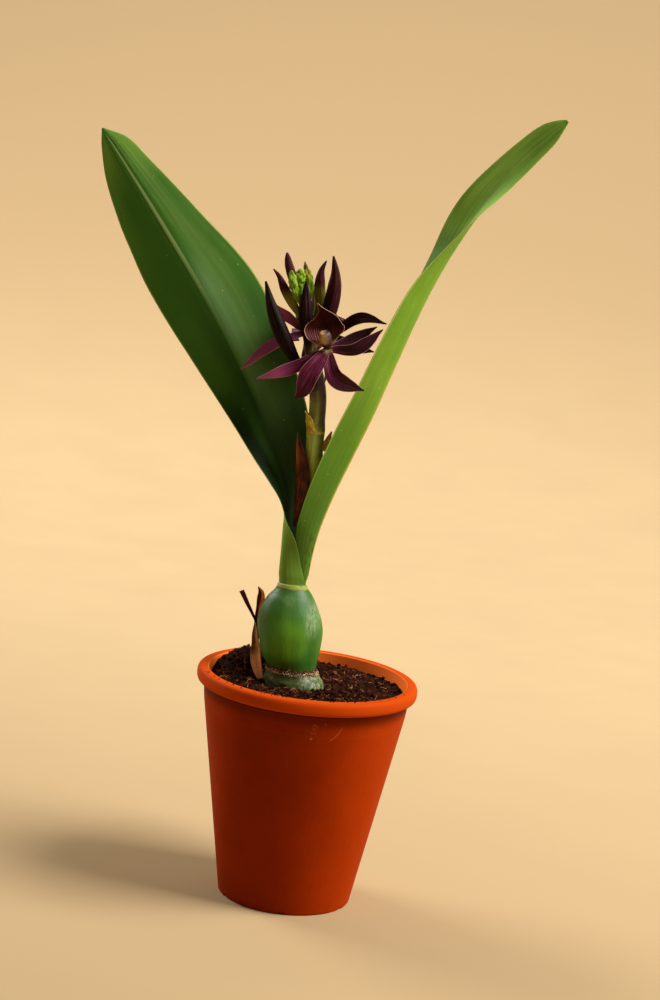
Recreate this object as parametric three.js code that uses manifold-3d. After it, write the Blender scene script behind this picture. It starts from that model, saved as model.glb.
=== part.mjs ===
// A potted guarechea orchid: a plain pot of mix holding one pseudobulb, two leaves and a flower stem.
// Millimetres, +Z up. The origin is the centre of the pot's underside and the open blooms face -Y.
import * as THREE from 'three';
import { mergeVertices } from 'three/addons/utils/BufferGeometryUtils.js';
import Module from 'manifold-3d';

const wasm = await Module();
wasm.setup();

// Clearances
const SEAT_GAP = 0.3;
const HOLE_GAP = 0.4;
const MERGE_DISTANCE = 1e-4;

// Pot
const POT_HEIGHT = 124.6;
const POT_SIDES = 48;
const RIM_RADIUS = 60;
const RIM_INNER_RADIUS = 54;
const RIM_HEIGHT = 7.8;
const RIM_ARC_STEPS = 7;
const NECK_RADIUS = 56.6;
const BASE_RADIUS = 36.4;
const WALL = 2.6;
const FLOOR = 3;
const DRAIN_COUNT = 6;
const DRAIN_RADIUS = 3.5;
const DRAIN_CIRCLE = 24;
const DRAIN_SIDES = 12;
const GROOVE_DEPTH = 1.2;
const GROOVE_WIDTH = 4;
const POT_EDGE = 1;

// Potting mix
const MIX_LEVEL = 118.4;
const MIX_RINGS = 8;
const HEAP = { x: -33, y: 20, height: 8.6, spread: 14 };
const CLOD_HEIGHT = 1.1;
const CLOD_SIZE = 7;
const NOISE = { seed: 74.7, across: 127.1, along: 311.7, spread: 43758.5453 };

// Pseudobulb: each place gives the height, the middle of the axis, and the half width across
const BULB_DEPTH_SHARE = 0.86;
const BULB_SIDES = 22;
const BULB_STATIONS = 20;
const BULB_OUTLINE = [
  { z: 106, x: -8, half: 7 },
  { z: 110, x: -8, half: 13 },
  { z: 118, x: -7.3, half: 16.6 },
  { z: 124, x: -8.6, half: 14.6 },
  { z: 127.5, x: -9.5, half: 13.3 },
  { z: 134, x: -11.1, half: 15.5 },
  { z: 141, x: -11.8, half: 16.9 },
  { z: 149, x: -12.7, half: 17.9 },
  { z: 157, x: -13.2, half: 16.3 },
  { z: 164.5, x: -13.4, half: 12.9 },
  { z: 168, x: -13.4, half: 10.8 },
  { z: 170, x: -13.4, half: 9.5 },
  { z: 171.2, x: -13.6, half: 8.8 },
  { z: 172, x: -13.7, half: 8.8 },
  { z: 173, x: -13.8, half: 8.5 },
  { z: 173.6, x: -13.8, half: 7.8 },
];

// Creeping stem and roots inside the mix
const CREEPER = {
  points: [[-6, 0, 111], [-18, 2, 109], [-34, 6, 107]],
  radius: [[0, 5.5], [1, 3.9]],
};
const CREEPER_SIDES = 8;
const CREEPER_STATIONS = 7;
const ROOT_RADIUS = 1.6;
const ROOT_SIDES = 6;
const ROOT_STATIONS = 7;
const ROOTS = [
  [[-4, -4, 110], [6, -14, 96], [14, -22, 72], [12, -26, 44]],
  [[-3, 4, 110], [10, 14, 98], [20, 24, 76], [18, 27, 50]],
  [[-10, -5, 108], [-14, -18, 90], [-8, -27, 64], [2, -26, 36]],
  [[-14, 6, 108], [-16, 18, 88], [-6, 28, 62], [-2, 26, 34]],
  [[-24, 2, 107], [-30, -8, 90], [-30, -14, 66], [-22, -18, 40]],
];

// Torn ring of old sheath round the bulb's foot
const RING_THICKNESS = 0.9;
const RING_BOTTOM = 125;
const RING_HEIGHT = 3.2;
const RING_TOOTH = 2.4;
const RING_SIDES = 36;
const RING_EASE = 0.2;

// Blades
const LEAF_EDGE = 0.7;
const LEAF_RIB = 1.5;
const LEAF_STATIONS = 32;
const LEAF_ACROSS = 4;
const TEPAL_EDGE = 0.65;
const TEPAL_RIB = 1.1;
const TEPAL_STATIONS = 8;
const TEPAL_ACROSS = 2;
const TIP_THINNING = { start: 0.8, least: 0.2 };

const VIEWER = new THREE.Vector3(0, -1, 0);
const UP = new THREE.Vector3(0, 0, 1);

// Left leaf: angles turn from the viewer's side (0) to the side of the flower stem (90)
const LEFT_LEAF = {
  rib: [
    [-21.2, 0, 174], [-21.2, 0.1, 178], [-21.5, 2.5, 199], [-23, 7, 224], [-39, 14, 257.5],
    [-56.5, 20, 286.5], [-77, 24, 318], [-103, 26, 353], [-128.5, 25, 386], [-141.5, 23, 402.5],
  ],
  halves: [
    {
      width: [
        [0, 17], [0.03, 14], [0.06, 12], [0.09, 10.5], [0.13, 9.3], [0.18, 11.4], [0.25, 14.1],
        [0.33, 16.1], [0.41, 18.8], [0.52, 23.6], [0.58, 26], [0.64, 27.2], [0.7, 27], [0.76, 24.7],
        [0.82, 21.6], [0.91, 14.1], [0.97, 6], [1, 0.5],
      ],
      root: [
        [0, 2], [0.06, -10], [0.1, -15], [0.14, -20], [0.2, -38], [0.32, -64], [0.42, -84],
        [0.55, -96], [0.75, -102], [1, -98],
      ],
      edge: [
        [0, 92], [0.03, 88], [0.06, 76], [0.09, 52], [0.13, 4], [0.2, -36], [0.32, -68],
        [0.42, -90], [0.55, -106], [0.75, -112], [1, -102],
      ],
    },
    {
      width: [
        [0, 17], [0.03, 14], [0.08, 11], [0.15, 13], [0.22, 18], [0.32, 24], [0.45, 28],
        [0.54, 30], [0.6, 29.8], [0.66, 27.2], [0.74, 22.2], [0.8, 18.7], [0.9, 12.6], [0.96, 8.6],
        [1, 0.5],
      ],
      root: [
        [0, 172], [0.05, 165], [0.1, 155], [0.15, 138], [0.22, 115], [0.3, 102], [0.4, 97],
        [0.55, 99], [0.75, 101], [1, 98],
      ],
      edge: [
        [0, 90], [0.05, 92], [0.1, 98], [0.15, 103], [0.25, 100], [0.4, 98], [0.55, 106],
        [0.75, 108], [1, 102],
      ],
    },
  ],
};

// Right leaf: the same angles, turned the other way
const RIGHT_LEAF = {
  rib: [
    [-7, 0, 174], [-5.2, 0, 192], [-2.6, 0, 206], [3.4, 0, 226], [17.8, 1.5, 266], [28, 2, 298],
    [40.4, 4, 335], [53.6, 5, 365.5], [67.4, 4, 392], [84, 2, 415], [101.5, 0, 433.4],
  ],
  halves: [
    {
      width: [
        [0, 9], [0.05, 10.5], [0.08, 12], [0.12, 14.5], [0.2, 16.8], [0.3, 18], [0.42, 18.5],
        [0.52, 20.4], [0.59, 20], [0.66, 17.2], [0.77, 13], [0.85, 9], [0.91, 7.4], [0.96, 5.6],
        [1, 1],
      ],
      root: [
        [0, -8], [0.08, -12], [0.12, -28], [0.3, -35], [0.5, -22], [0.64, -10], [0.77, 15],
        [0.85, 50], [0.92, 70], [1, 75],
      ],
      edge: [
        [0, -95], [0.08, -88], [0.12, -72], [0.3, -66], [0.5, -46], [0.64, -34], [0.77, -2],
        [0.85, 34], [0.92, 52], [1, 58],
      ],
    },
    {
      width: [
        [0, 9], [0.05, 10.5], [0.12, 13], [0.2, 15], [0.3, 16.5], [0.42, 17.3], [0.52, 17.6],
        [0.64, 16.5], [0.77, 13], [0.85, 10], [0.91, 8.2], [0.96, 6.8], [0.985, 4], [1, 1],
      ],
      root: [
        [0, -172], [0.08, -166], [0.12, -155], [0.2, -148], [0.3, -145], [0.5, -150],
        [0.64, -150], [0.77, -122], [0.85, -110], [1, -100],
      ],
      edge: [
        [0, -88], [0.08, -92], [0.12, -98], [0.2, -112], [0.3, -130], [0.42, -148],
        [0.55, -154], [0.66, -146], [0.77, -112], [0.85, -104], [1, -96],
      ],
    },
  ],
};

// Flower stem, with its swollen joint
const STEM_SIDES = 10;
const STEM_STATIONS = 24;
const STEM = {
  points: [
    [-14, 0, 174], [-12.2, 0, 190], [-11, 0, 208.6], [-9.4, 0, 230], [-10.3, 0, 247],
    [-10.7, 0, 257], [-11.3, 0, 273.9], [-13.4, 0, 285], [-16.4, 0, 295], [-19.5, 0, 305],
    [-22.5, 0, 315.4], [-26.5, 0, 329],
  ],
  radius: [
    [0, 1.8], [0.1, 2.1], [0.24, 3.4], [0.36, 4.5], [0.5, 4.7], [0.535, 5],
    [0.57, 4.5], [0.66, 4.5], [0.74, 3.9], [0.84, 3], [0.93, 2.3], [1, 1.2],
  ],
};

// Strips: thin curled blades, each wrapped by its cup angle (90 is flat, less is cupped forward)
const STRIPS = {
  spathe: {
    rib: [
      [-16.8, -0.6, 204.5], [-17.2, -1, 211], [-18, -1.2, 226], [-19, -1.6, 240], [-19.8, -2.4, 249],
      [-19.9, -3.4, 255.6],
    ],
    facing: [1, 0, 0],
    half: [[0, 1.2], [0.13, 3.6], [0.3, 7], [0.52, 9], [0.7, 8], [0.85, 4.6], [0.94, 2.2], [1, 0.5]],
    shares: [1, 0.5],
    cup: 25,
  },
  node_bract_yellow: {
    rib: [[-12.6, -5.9, 256], [-13.8, -5.9, 261], [-15.4, -5.4, 265], [-17, -4.8, 268]],
    facing: [0, -1, 0],
    half: [[0, 2.6], [0.5, 2.2], [1, 0.4]],
    cup: 112,
  },
  node_bract_brown: {
    rib: [[-5, -1, 247], [-3.9, -1, 252.5], [-2.1, -1, 258]],
    facing: [0.35, -1, 0],
    half: [[0, 1.7], [0.5, 1.8], [1, 0.35]],
    cup: 72,
  },
  dead_sheath_strip: {
    rib: [
      [-28.4, 4.4, 117], [-30.4, 4, 130], [-30.8, 3.6, 143], [-31.3, 3.2, 149.4], [-33.4, 3, 153.3],
      [-37.1, 3, 159.3], [-40.8, 3, 165.8],
    ],
    facing: [0, -1, 0],
    half: [[0, 1.6], [0.4, 1.3], [0.58, 0.8], [0.75, 0.9], [0.9, 1.2], [1, 1.5]],
    cup: 70,
  },
  dead_sheath_orange: {
    rib: [
      [-27.5, 7.4, 117], [-29.6, 7.2, 132], [-31, 6.2, 145], [-31.5, 4.9, 151.5], [-30.8, 3.8, 157.4],
      [-30, 3, 162.5], [-30.4, 2.6, 166.4], [-32.1, 2.4, 169],
    ],
    facing: [0, -1, 0],
    half: [[0, 2], [0.35, 1.8], [0.6, 0.9], [0.75, 1.2], [0.86, 2.2], [0.93, 1.7], [1, 0.3]],
    cup: 72,
  },
  dead_sheath_base: {
    rib: [
      [-26.8, -2.6, 117], [-28.4, -1.6, 123], [-30, -0.2, 128.5], [-30.4, 0.6, 133], [-31.3, 0.8, 138],
      [-31.7, 0.6, 142], [-31.8, 0.2, 146], [-31.8, 0, 149.6],
    ],
    facing: [-0.2, -1, 0],
    half: [[0, 1.6], [0.2, 2.7], [0.38, 3.3], [0.58, 3.4], [0.72, 2.4], [0.86, 1.4], [1, 0.4]],
    cup: 68,
  },
};
const STRIP_STATIONS = 10;
const STRIP_ACROSS = 2;

// Blooms: an ovary from the stem to the centre, tepals by the offset of tip and of middle from a
// straight line, and the same lip and column on each, turned about the way that the bloom faces
const BLOOMS = {
  bloom_front: {
    ovary: [[-15.5, 0, 296], [-12, -5, 299], [-9, -12.5, 302.5]],
    facing: [0, -1, 0],
    turn: 17,
    tepals: [
      { tip: [-35.2, -2.5, -19.2], bow: [0.6, -1.9, -1.6], half: 3.4 },
      { tip: [-14.2, -3.5, -26.9], bow: [-0.4, -3.4, 1], half: 5.3 },
      { tip: [21.4, -2.5, -19.2], bow: [-4.2, -3.9, -3.6], half: 4.7 },
      { tip: [27.6, 1.5, 13.5], bow: [1.2, -2.2, -4.5], half: 3.5 },
      { tip: [24.4, 7.5, 14], bow: [1.5, 1.7, 0], half: 3.3 },
    ],
  },
  bloom_left: {
    ovary: [[-18.5, 0, 303], [-18.6, 8, 304.5], [-21.4, 16, 307.5]],
    facing: [-0.96, 0.25, 0.1],
    turn: 0,
    tepals: [
      { tip: [-32.6, -11.5, -22.6], bow: [-0.4, -2, 3.6], half: 3.3, facing: [-0.4, -0.9, 0.3] },
      { tip: [-22.6, -13, 15.5], bow: [-0.9, -1.4, 1], half: 3.3, facing: [-0.4, -0.9, -0.2] },
      { tip: [4, 6, -27], bow: [-1, 1, 0], half: 4.4 },
      { tip: [-4, 21, -7], bow: [-6, 0, 0], half: 3.6 },
      { tip: [-3, 18, 14], bow: [-5, 0, 0], half: 3.3 },
    ],
  },
  bloom_right: {
    ovary: [[-17, 0, 299], [-14, 6, 302], [-8, 13.5, 307.5]],
    facing: [0.96, 0.25, 0.1],
    turn: 0,
    tepals: [
      { tip: [28.5, -11.5, 10.4], bow: [-0.4, -1.7, 6.2], half: 3.2, facing: [0.3, -0.9, 0.4] },
      { tip: [23.3, -19.5, -4.3], bow: [1, -2.3, -1.3], half: 3.2 },
      { tip: [-1, 10, -27], bow: [0, 2, 0], half: 4.4 },
      { tip: [0, 21, -8], bow: [3, 0, 0], half: 3.8 },
      { tip: [-3, 18, 12], bow: [3, 0, 0], half: 3.3 },
    ],
  },
};
const TEPAL_SHAPE = [[0, 0.4], [0.3, 0.82], [0.58, 1], [0.78, 0.68], [0.92, 0.26], [1, 0.08]];
const TEPAL_CUP = 76;
const OVARY_RADIUS = [[0, 1.7], [0.7, 1.5], [1, 2.1]];
const OVARY_SIDES = 8;
const OVARY_STATIONS = 7;

// Lip and column in the bloom's own directions: right, up and forward of its centre
const LIP = {
  rib: [
    [0, 1.4, 0.2], [0.1, 5.8, -2.9], [-0.3, 11.4, -4.6], [-0.9, 17, -3.4], [-0.6, 20.6, -0.8], [0.2, 23, 0.9],
    [0.9, 24.8, 1.8],
  ],
  half: [
    [0, 3.8], [0.12, 8.2], [0.21, 10.5], [0.36, 11.6], [0.5, 10.6], [0.6, 8.9], [0.69, 6.9], [0.78, 3.6],
    [0.84, 1.9], [0.91, 1], [1, 0.35],
  ],
  cup: 60,
};
const LIP_STATIONS = 10;
const LIP_ACROSS = 4;
const COLUMN = {
  points: [[0, 1, 1.4], [0, 4.6, 3.2], [0, 9.6, 5.2]],
  radius: [[0, 2.2], [0.5, 2.5], [0.85, 2.7], [1, 1.9]],
};
const COLUMN_SIDES = 8;
const COLUMN_STATIONS = 6;

// Buds, each from inside the stem to its tip
const BUD_SIDES = 7;
const BUD_STATIONS = 10;
const BUD_SHAPE = [
  [0, 0.42], [0.2, 0.5], [0.38, 0.88], [0.52, 1], [0.7, 0.87], [0.84, 0.54], [0.93, 0.32], [1, 0.12],
];
const BLUNT_BUD_SHAPE = [
  [0, 0.45], [0.2, 0.55], [0.42, 0.86], [0.62, 1], [0.8, 0.94], [0.91, 0.68], [0.97, 0.4], [1, 0.16],
];
const BUDS = {
  bud_top_left: {
    half: 2.5,
    shape: BLUNT_BUD_SHAPE,
    points: [[-22, 0, 316], [-28, 4, 329], [-32.6, 5.8, 338], [-34.9, 6.2, 344], [-36.2, 6, 349.2]],
  },
  bud_hooked_left: {
    half: 2.6,
    points: [[-21, 0, 311], [-28.6, 0, 321], [-35, 0, 330], [-38.8, 0, 336.6], [-42.2, 0, 340.2]],
  },
  bud_green_left: {
    half: 2.2,
    shape: BLUNT_BUD_SHAPE,
    points: [[-24, 0, 321], [-28.4, -3.6, 328], [-31.2, -4.2, 335], [-32.6, -4, 340.8]],
  },
  bud_green_middle: {
    half: 2.6,
    shape: BLUNT_BUD_SHAPE,
    points: [[-26.4, 0, 327], [-27, 0, 333.5], [-28.2, -0.6, 342]],
  },
  bud_olive: {
    half: 2.6,
    points: [[-23.5, 0, 319], [-22.2, 1.4, 330], [-23.4, 2.4, 337], [-26.3, 3, 345.6]],
  },
  bud_front: {
    half: 3.9,
    points: [[-17, 0, 295], [-19.8, -4.2, 306], [-22.6, -6, 318], [-23.7, -5.6, 329], [-24.3, -5, 336.2]],
  },
  bud_hooked_right: {
    half: 3.1,
    points: [[-21, 0, 311], [-16.2, 2.6, 323], [-17.2, 3.4, 335], [-17, 3, 342], [-15, 2, 347.4]],
  },
  bud_top_right: {
    half: 4.2,
    points: [[-17.5, 0, 300], [-12.4, -2, 313], [-9.6, -3.4, 328], [-9.4, -4, 341], [-11.5, -4, 350.7]],
  },
  bud_large_left: {
    half: 4.1,
    points: [[-14, 0, 287], [-24, -6.4, 293.4], [-33, -9, 306], [-40.6, -9, 321], [-45.3, -8, 334]],
  },
};

// The value at one place on the smooth curve through [place, value] pairs
function smoothValue(pairs, place) {
  const last = pairs.length - 1;
  let left = 0;
  while (left < last - 1 && place > pairs[left + 1][0]) left += 1;
  const slopeAt = (k) => {
    const before = pairs[Math.max(k - 1, 0)];
    const after = pairs[Math.min(k + 1, last)];
    return (after[1] - before[1]) / (after[0] - before[0]);
  };
  const [startPlace, startValue] = pairs[left];
  const [endPlace, endValue] = pairs[left + 1];
  const span = endPlace - startPlace;
  const u = (place - startPlace) / span;
  const startWeight = (1 + 2 * u) * (1 - u) ** 2;
  const endWeight = u * u * (3 - 2 * u);
  const startPull = u * (1 - u) ** 2 * span * slopeAt(left);
  const endPull = u * u * (u - 1) * span * slopeAt(left + 1);
  return startWeight * startValue + endWeight * endValue + startPull + endPull;
}

// A function of 0 to 1 that runs along the smooth curve through the points
function curveThrough(points) {
  const lengths = [0];
  for (let i = 1; i < points.length; i += 1) {
    const step = new THREE.Vector3(...points[i]).distanceTo(new THREE.Vector3(...points[i - 1]));
    lengths.push(lengths[i - 1] + step);
  }
  const total = lengths[points.length - 1];
  const axes = [0, 1, 2].map((axis) => points.map((point, i) => [lengths[i] / total, point[axis]]));
  return (t) => new THREE.Vector3(...axes.map((pairs) => smoothValue(pairs, t)));
}

// Where a curve is at t, which way it runs, and the two directions across it
function frameAt(curve, t, facing) {
  const step = 0.01;
  const along = curve(Math.min(t + step, 1)).sub(curve(Math.max(t - step, 0))).normalize();
  const front = facing.clone().addScaledVector(along, -facing.dot(along)).normalize();
  const side = new THREE.Vector3().crossVectors(along, front);
  return { centre: curve(t), along, front, side };
}

function directionAt(frame, degrees) {
  const angle = THREE.MathUtils.degToRad(degrees);
  const result = frame.front.clone().multiplyScalar(Math.cos(angle));
  return result.addScaledVector(frame.side, Math.sin(angle));
}

// A closed body's volume, below zero where its faces point in
function signedVolume(points, faces) {
  let sum = 0;
  for (const [a, b, c] of faces) {
    sum += points[a].dot(new THREE.Vector3().crossVectors(points[b], points[c]));
  }
  return sum / 6;
}

function closedGeometry(points, faces) {
  const outward = signedVolume(points, faces) < 0 ? faces.map(([a, b, c]) => [a, c, b]) : faces;
  const geometry = new THREE.BufferGeometry();
  const places = points.flatMap((point) => point.toArray());
  geometry.setAttribute('position', new THREE.Float32BufferAttribute(places, 3));
  geometry.setIndex(outward.flat());
  return geometry;
}

// Closed body through rings of equal length, with a flat fan at each end or joined end to end
function loft(rings, endless = false) {
  const size = rings[0].length;
  const faces = [];
  for (let k = 0; k < rings.length - (endless ? 0 : 1); k += 1) {
    const above = (k + 1) % rings.length;
    for (let j = 0; j < size; j += 1) {
      const next = (j + 1) % size;
      faces.push([k * size + j, k * size + next, above * size + next]);
      faces.push([k * size + j, above * size + next, above * size + j]);
    }
  }
  if (endless) return closedGeometry(rings.flat(), faces);
  const endStart = (rings.length - 1) * size;
  for (let j = 1; j + 1 < size; j += 1) {
    faces.push([0, j + 1, j]);
    faces.push([endStart, endStart + j, endStart + j + 1]);
  }
  return closedGeometry(rings.flat(), faces);
}

function tube({ points, radius, sides, stations, grow = 0, depthShare = 1, facing = VIEWER }) {
  const curve = curveThrough(points);
  const rings = [];
  for (let k = 0; k < stations; k += 1) {
    const t = k / (stations - 1);
    const frame = frameAt(curve, t, facing);
    const reach = (k === 0 ? -grow : 0) + (k === stations - 1 ? grow : 0);
    const size = smoothValue(radius, t) + grow;
    const ring = [];
    for (let j = 0; j < sides; j += 1) {
      const angle = (2 * Math.PI * j) / sides;
      const point = frame.centre.clone().addScaledVector(frame.along, reach);
      point.addScaledVector(frame.side, size * Math.cos(angle));
      point.addScaledVector(frame.front, size * depthShare * Math.sin(angle));
      ring.push(point);
    }
    rings.push(ring);
  }
  return loft(rings);
}

// One half of a blade at t: points from the rib out to the margin, turning most near the rib
function halfChain(frame, half, t, across, bend, grow) {
  const width = smoothValue(half.width, t) + grow;
  const root = smoothValue(half.root, t);
  const edge = smoothValue(half.edge, t);
  const chain = [];
  const point = frame.centre.clone();
  for (let j = 0; j < across; j += 1) {
    const share = (j + 0.5) / across;
    const turned = 1 - (1 - share) ** bend;
    point.addScaledVector(directionAt(frame, root + (edge - root) * turned), width / across);
    chain.push(point.clone());
  }
  return chain;
}

// A closed blade with alike triangles on both faces
function blade({ rib, facing, halves, edge, middle, stations, across, bend = 3, grow = 0 }) {
  const curve = curveThrough(rib);
  const columns = 2 * across + 1;
  const points = [];
  for (let k = 0; k < stations; k += 1) {
    const t = k / (stations - 1);
    const frame = frameAt(curve, t, facing);
    const reach = (k === 0 ? -grow : 0) + (k === stations - 1 ? grow : 0);
    frame.centre.addScaledVector(frame.along, reach);
    const [first, second] = halves.map((half) => halfChain(frame, half, t, across, bend, grow));
    const chain = [...first.reverse(), frame.centre, ...second];
    for (const side of [0.5, -0.5]) {
      chain.forEach((point, j) => {
        const acrossWay = chain[Math.min(j + 1, columns - 1)].clone().sub(chain[Math.max(j - 1, 0)]);
        const normal = new THREE.Vector3().crossVectors(frame.along, acrossWay).normalize();
        const share = Math.abs(j - across) / across;
        const taper = Math.min(1, (1 - t) / (1 - TIP_THINNING.start) + TIP_THINNING.least);
        const thickness = edge + (middle - edge) * (1 - share) ** 2 * taper + 2 * grow;
        points.push(point.clone().addScaledVector(normal, side * thickness));
      });
    }
  }
  const faces = [];
  const at = (k, layer, j) => (k * 2 + layer) * columns + j;
  for (let k = 0; k + 1 < stations; k += 1) {
    for (let j = 0; j + 1 < columns; j += 1) {
      faces.push([at(k, 0, j), at(k, 0, j + 1), at(k + 1, 0, j + 1)]);
      faces.push([at(k, 0, j), at(k + 1, 0, j + 1), at(k + 1, 0, j)]);
      faces.push([at(k, 1, j), at(k + 1, 1, j + 1), at(k, 1, j + 1)]);
      faces.push([at(k, 1, j), at(k + 1, 1, j), at(k + 1, 1, j + 1)]);
    }
    for (const [j, flip] of [[0, false], [columns - 1, true]]) {
      const quad = [at(k, 0, j), at(k + 1, 0, j), at(k + 1, 1, j), at(k, 1, j)];
      const [a, b, c, d] = flip ? quad.reverse() : quad;
      faces.push([a, b, c], [a, c, d]);
    }
  }
  for (const [k, flip] of [[0, true], [stations - 1, false]]) {
    for (let j = 0; j + 1 < columns; j += 1) {
      const quad = [at(k, 0, j), at(k, 0, j + 1), at(k, 1, j + 1), at(k, 1, j)];
      const [a, b, c, d] = flip ? quad.reverse() : quad;
      faces.push([a, b, c], [a, c, d]);
    }
  }
  return closedGeometry(points, faces);
}

function evenHalves(half, cup, shares = [1, 1]) {
  return [-1, 1].map((sign, i) => ({
    width: half.map(([place, width]) => [place, width * shares[i]]),
    root: [[0, sign * (cup + 90) / 2], [1, sign * (cup + 90) / 2]],
    edge: [[0, sign * cup], [1, sign * cup]],
  }));
}

// Joining and cutting
function solid(geometry) {
  const bare = geometry.clone();
  bare.deleteAttribute('normal');
  bare.deleteAttribute('uv');
  const merged = mergeVertices(bare, MERGE_DISTANCE);
  const places = merged.attributes.position;
  const points = [];
  for (let i = 0; i < places.count; i += 1) {
    points.push(new THREE.Vector3().fromBufferAttribute(places, i));
  }
  const faces = [];
  for (let i = 0; i < merged.index.count; i += 3) {
    const [a, b, c] = merged.index.array.slice(i, i + 3);
    if (a !== b && b !== c && c !== a) faces.push([a, b, c]);
  }
  const closed = closedGeometry(points, faces);
  const mesh = new wasm.Mesh({
    numProp: 3,
    vertProperties: new Float32Array(closed.attributes.position.array),
    triVerts: new Uint32Array(closed.index.array),
  });
  return new wasm.Manifold(mesh);
}

function join(solids) {
  return solids.reduce((whole, next) => whole.add(next));
}

function largestPiece(manifold) {
  const pieces = manifold.decompose();
  return pieces.reduce((best, next) => (next.volume() > best.volume() ? next : best));
}

function geometryOf(manifold) {
  const mesh = manifold.getMesh();
  const geometry = new THREE.BufferGeometry();
  geometry.setAttribute('position', new THREE.Float32BufferAttribute(mesh.vertProperties, 3));
  geometry.setIndex([...mesh.triVerts]);
  return geometry;
}

const plant = new THREE.Group();

function addPiece(name, geometry, { color, roughness }) {
  const material = new THREE.MeshStandardMaterial({ color, roughness, metalness: 0, flatShading: true });
  const mesh = new THREE.Mesh(geometry, material);
  mesh.name = name;
  plant.add(mesh);
}

const FINISH = {
  pot: { color: 0xc2491a, roughness: 0.6 },
  mix: { color: 0x2c1a12, roughness: 0.95 },
  bulb: { color: 0x4c8a2e, roughness: 0.4 },
  leaf: { color: 0x4a7d33, roughness: 0.5 },
  stem: { color: 0x6f7a2c, roughness: 0.5 },
  dry: { color: 0x8a4a22, roughness: 0.7 },
  tepal: { color: 0x4b1430, roughness: 0.5 },
  lip: { color: 0x2f0b14, roughness: 0.4 },
  column: { color: 0xd8b064, roughness: 0.5 },
  bud: { color: 0x36121f, roughness: 0.5 },
  greenBud: { color: 0x86a03a, roughness: 0.5 },
};

// Pot
function rimArc() {
  const arc = [];
  const middle = POT_HEIGHT - RIM_HEIGHT / 2;
  const depth = RIM_RADIUS - NECK_RADIUS;
  for (let i = 0; i <= RIM_ARC_STEPS; i += 1) {
    const angle = Math.PI * (i / RIM_ARC_STEPS - 0.5);
    arc.push([NECK_RADIUS + depth * Math.cos(angle), middle + (RIM_HEIGHT / 2) * Math.sin(angle)]);
  }
  return arc;
}

function potSolid() {
  const profile = [
    [0, 0], [BASE_RADIUS - POT_EDGE, 0], [BASE_RADIUS, POT_EDGE],
    ...rimArc(),
    [RIM_INNER_RADIUS, POT_HEIGHT - POT_EDGE], [BASE_RADIUS - WALL, FLOOR], [0, FLOOR],
  ];
  const outline = profile.map(([radius, height]) => new THREE.Vector2(radius, height));
  const body = new THREE.LatheGeometry(outline, POT_SIDES);
  body.rotateX(Math.PI / 2);
  let pot = solid(body);
  for (let i = 0; i < DRAIN_COUNT; i += 1) {
    const angle = (2 * Math.PI * (i + 0.5)) / DRAIN_COUNT;
    const hole = new THREE.CylinderGeometry(DRAIN_RADIUS, DRAIN_RADIUS, 3 * FLOOR, DRAIN_SIDES);
    hole.rotateX(Math.PI / 2);
    hole.translate(DRAIN_CIRCLE, 0, 0);
    hole.rotateZ(angle);
    const groove = new THREE.BoxGeometry(BASE_RADIUS, GROOVE_WIDTH, 2 * GROOVE_DEPTH);
    groove.translate(DRAIN_CIRCLE + BASE_RADIUS / 2, 0, 0);
    groove.rotateZ(angle);
    pot = pot.subtract(solid(hole)).subtract(solid(groove));
  }
  return pot;
}

// Seeded noise from -1 to 1: a fixed value at each whole-number place, and a smooth field between
function cellValue(i, j) {
  const wave = Math.sin(i * NOISE.across + j * NOISE.along + NOISE.seed) * NOISE.spread;
  return 2 * (wave - Math.floor(wave)) - 1;
}

function clods(x, y) {
  const [i, j] = [Math.floor(x), Math.floor(y)];
  const [u, v] = [x - i, y - j].map((share) => share * share * (3 - 2 * share));
  const near = cellValue(i, j) * (1 - u) + cellValue(i + 1, j) * u;
  const far = cellValue(i, j + 1) * (1 - u) + cellValue(i + 1, j + 1) * u;
  return near * (1 - v) + far * v;
}

// Potting mix
function innerRadiusAt(z) {
  const innerBase = BASE_RADIUS - WALL;
  const share = (z - FLOOR) / (POT_HEIGHT - POT_EDGE - FLOOR);
  return innerBase + (RIM_INNER_RADIUS - innerBase) * share;
}

function mixHeight(x, y) {
  const away = (x - HEAP.x) ** 2 + (y - HEAP.y) ** 2;
  const heap = HEAP.height * Math.exp(-away / (2 * HEAP.spread ** 2));
  return MIX_LEVEL + heap + CLOD_HEIGHT * clods(x / CLOD_SIZE, y / CLOD_SIZE);
}

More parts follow.
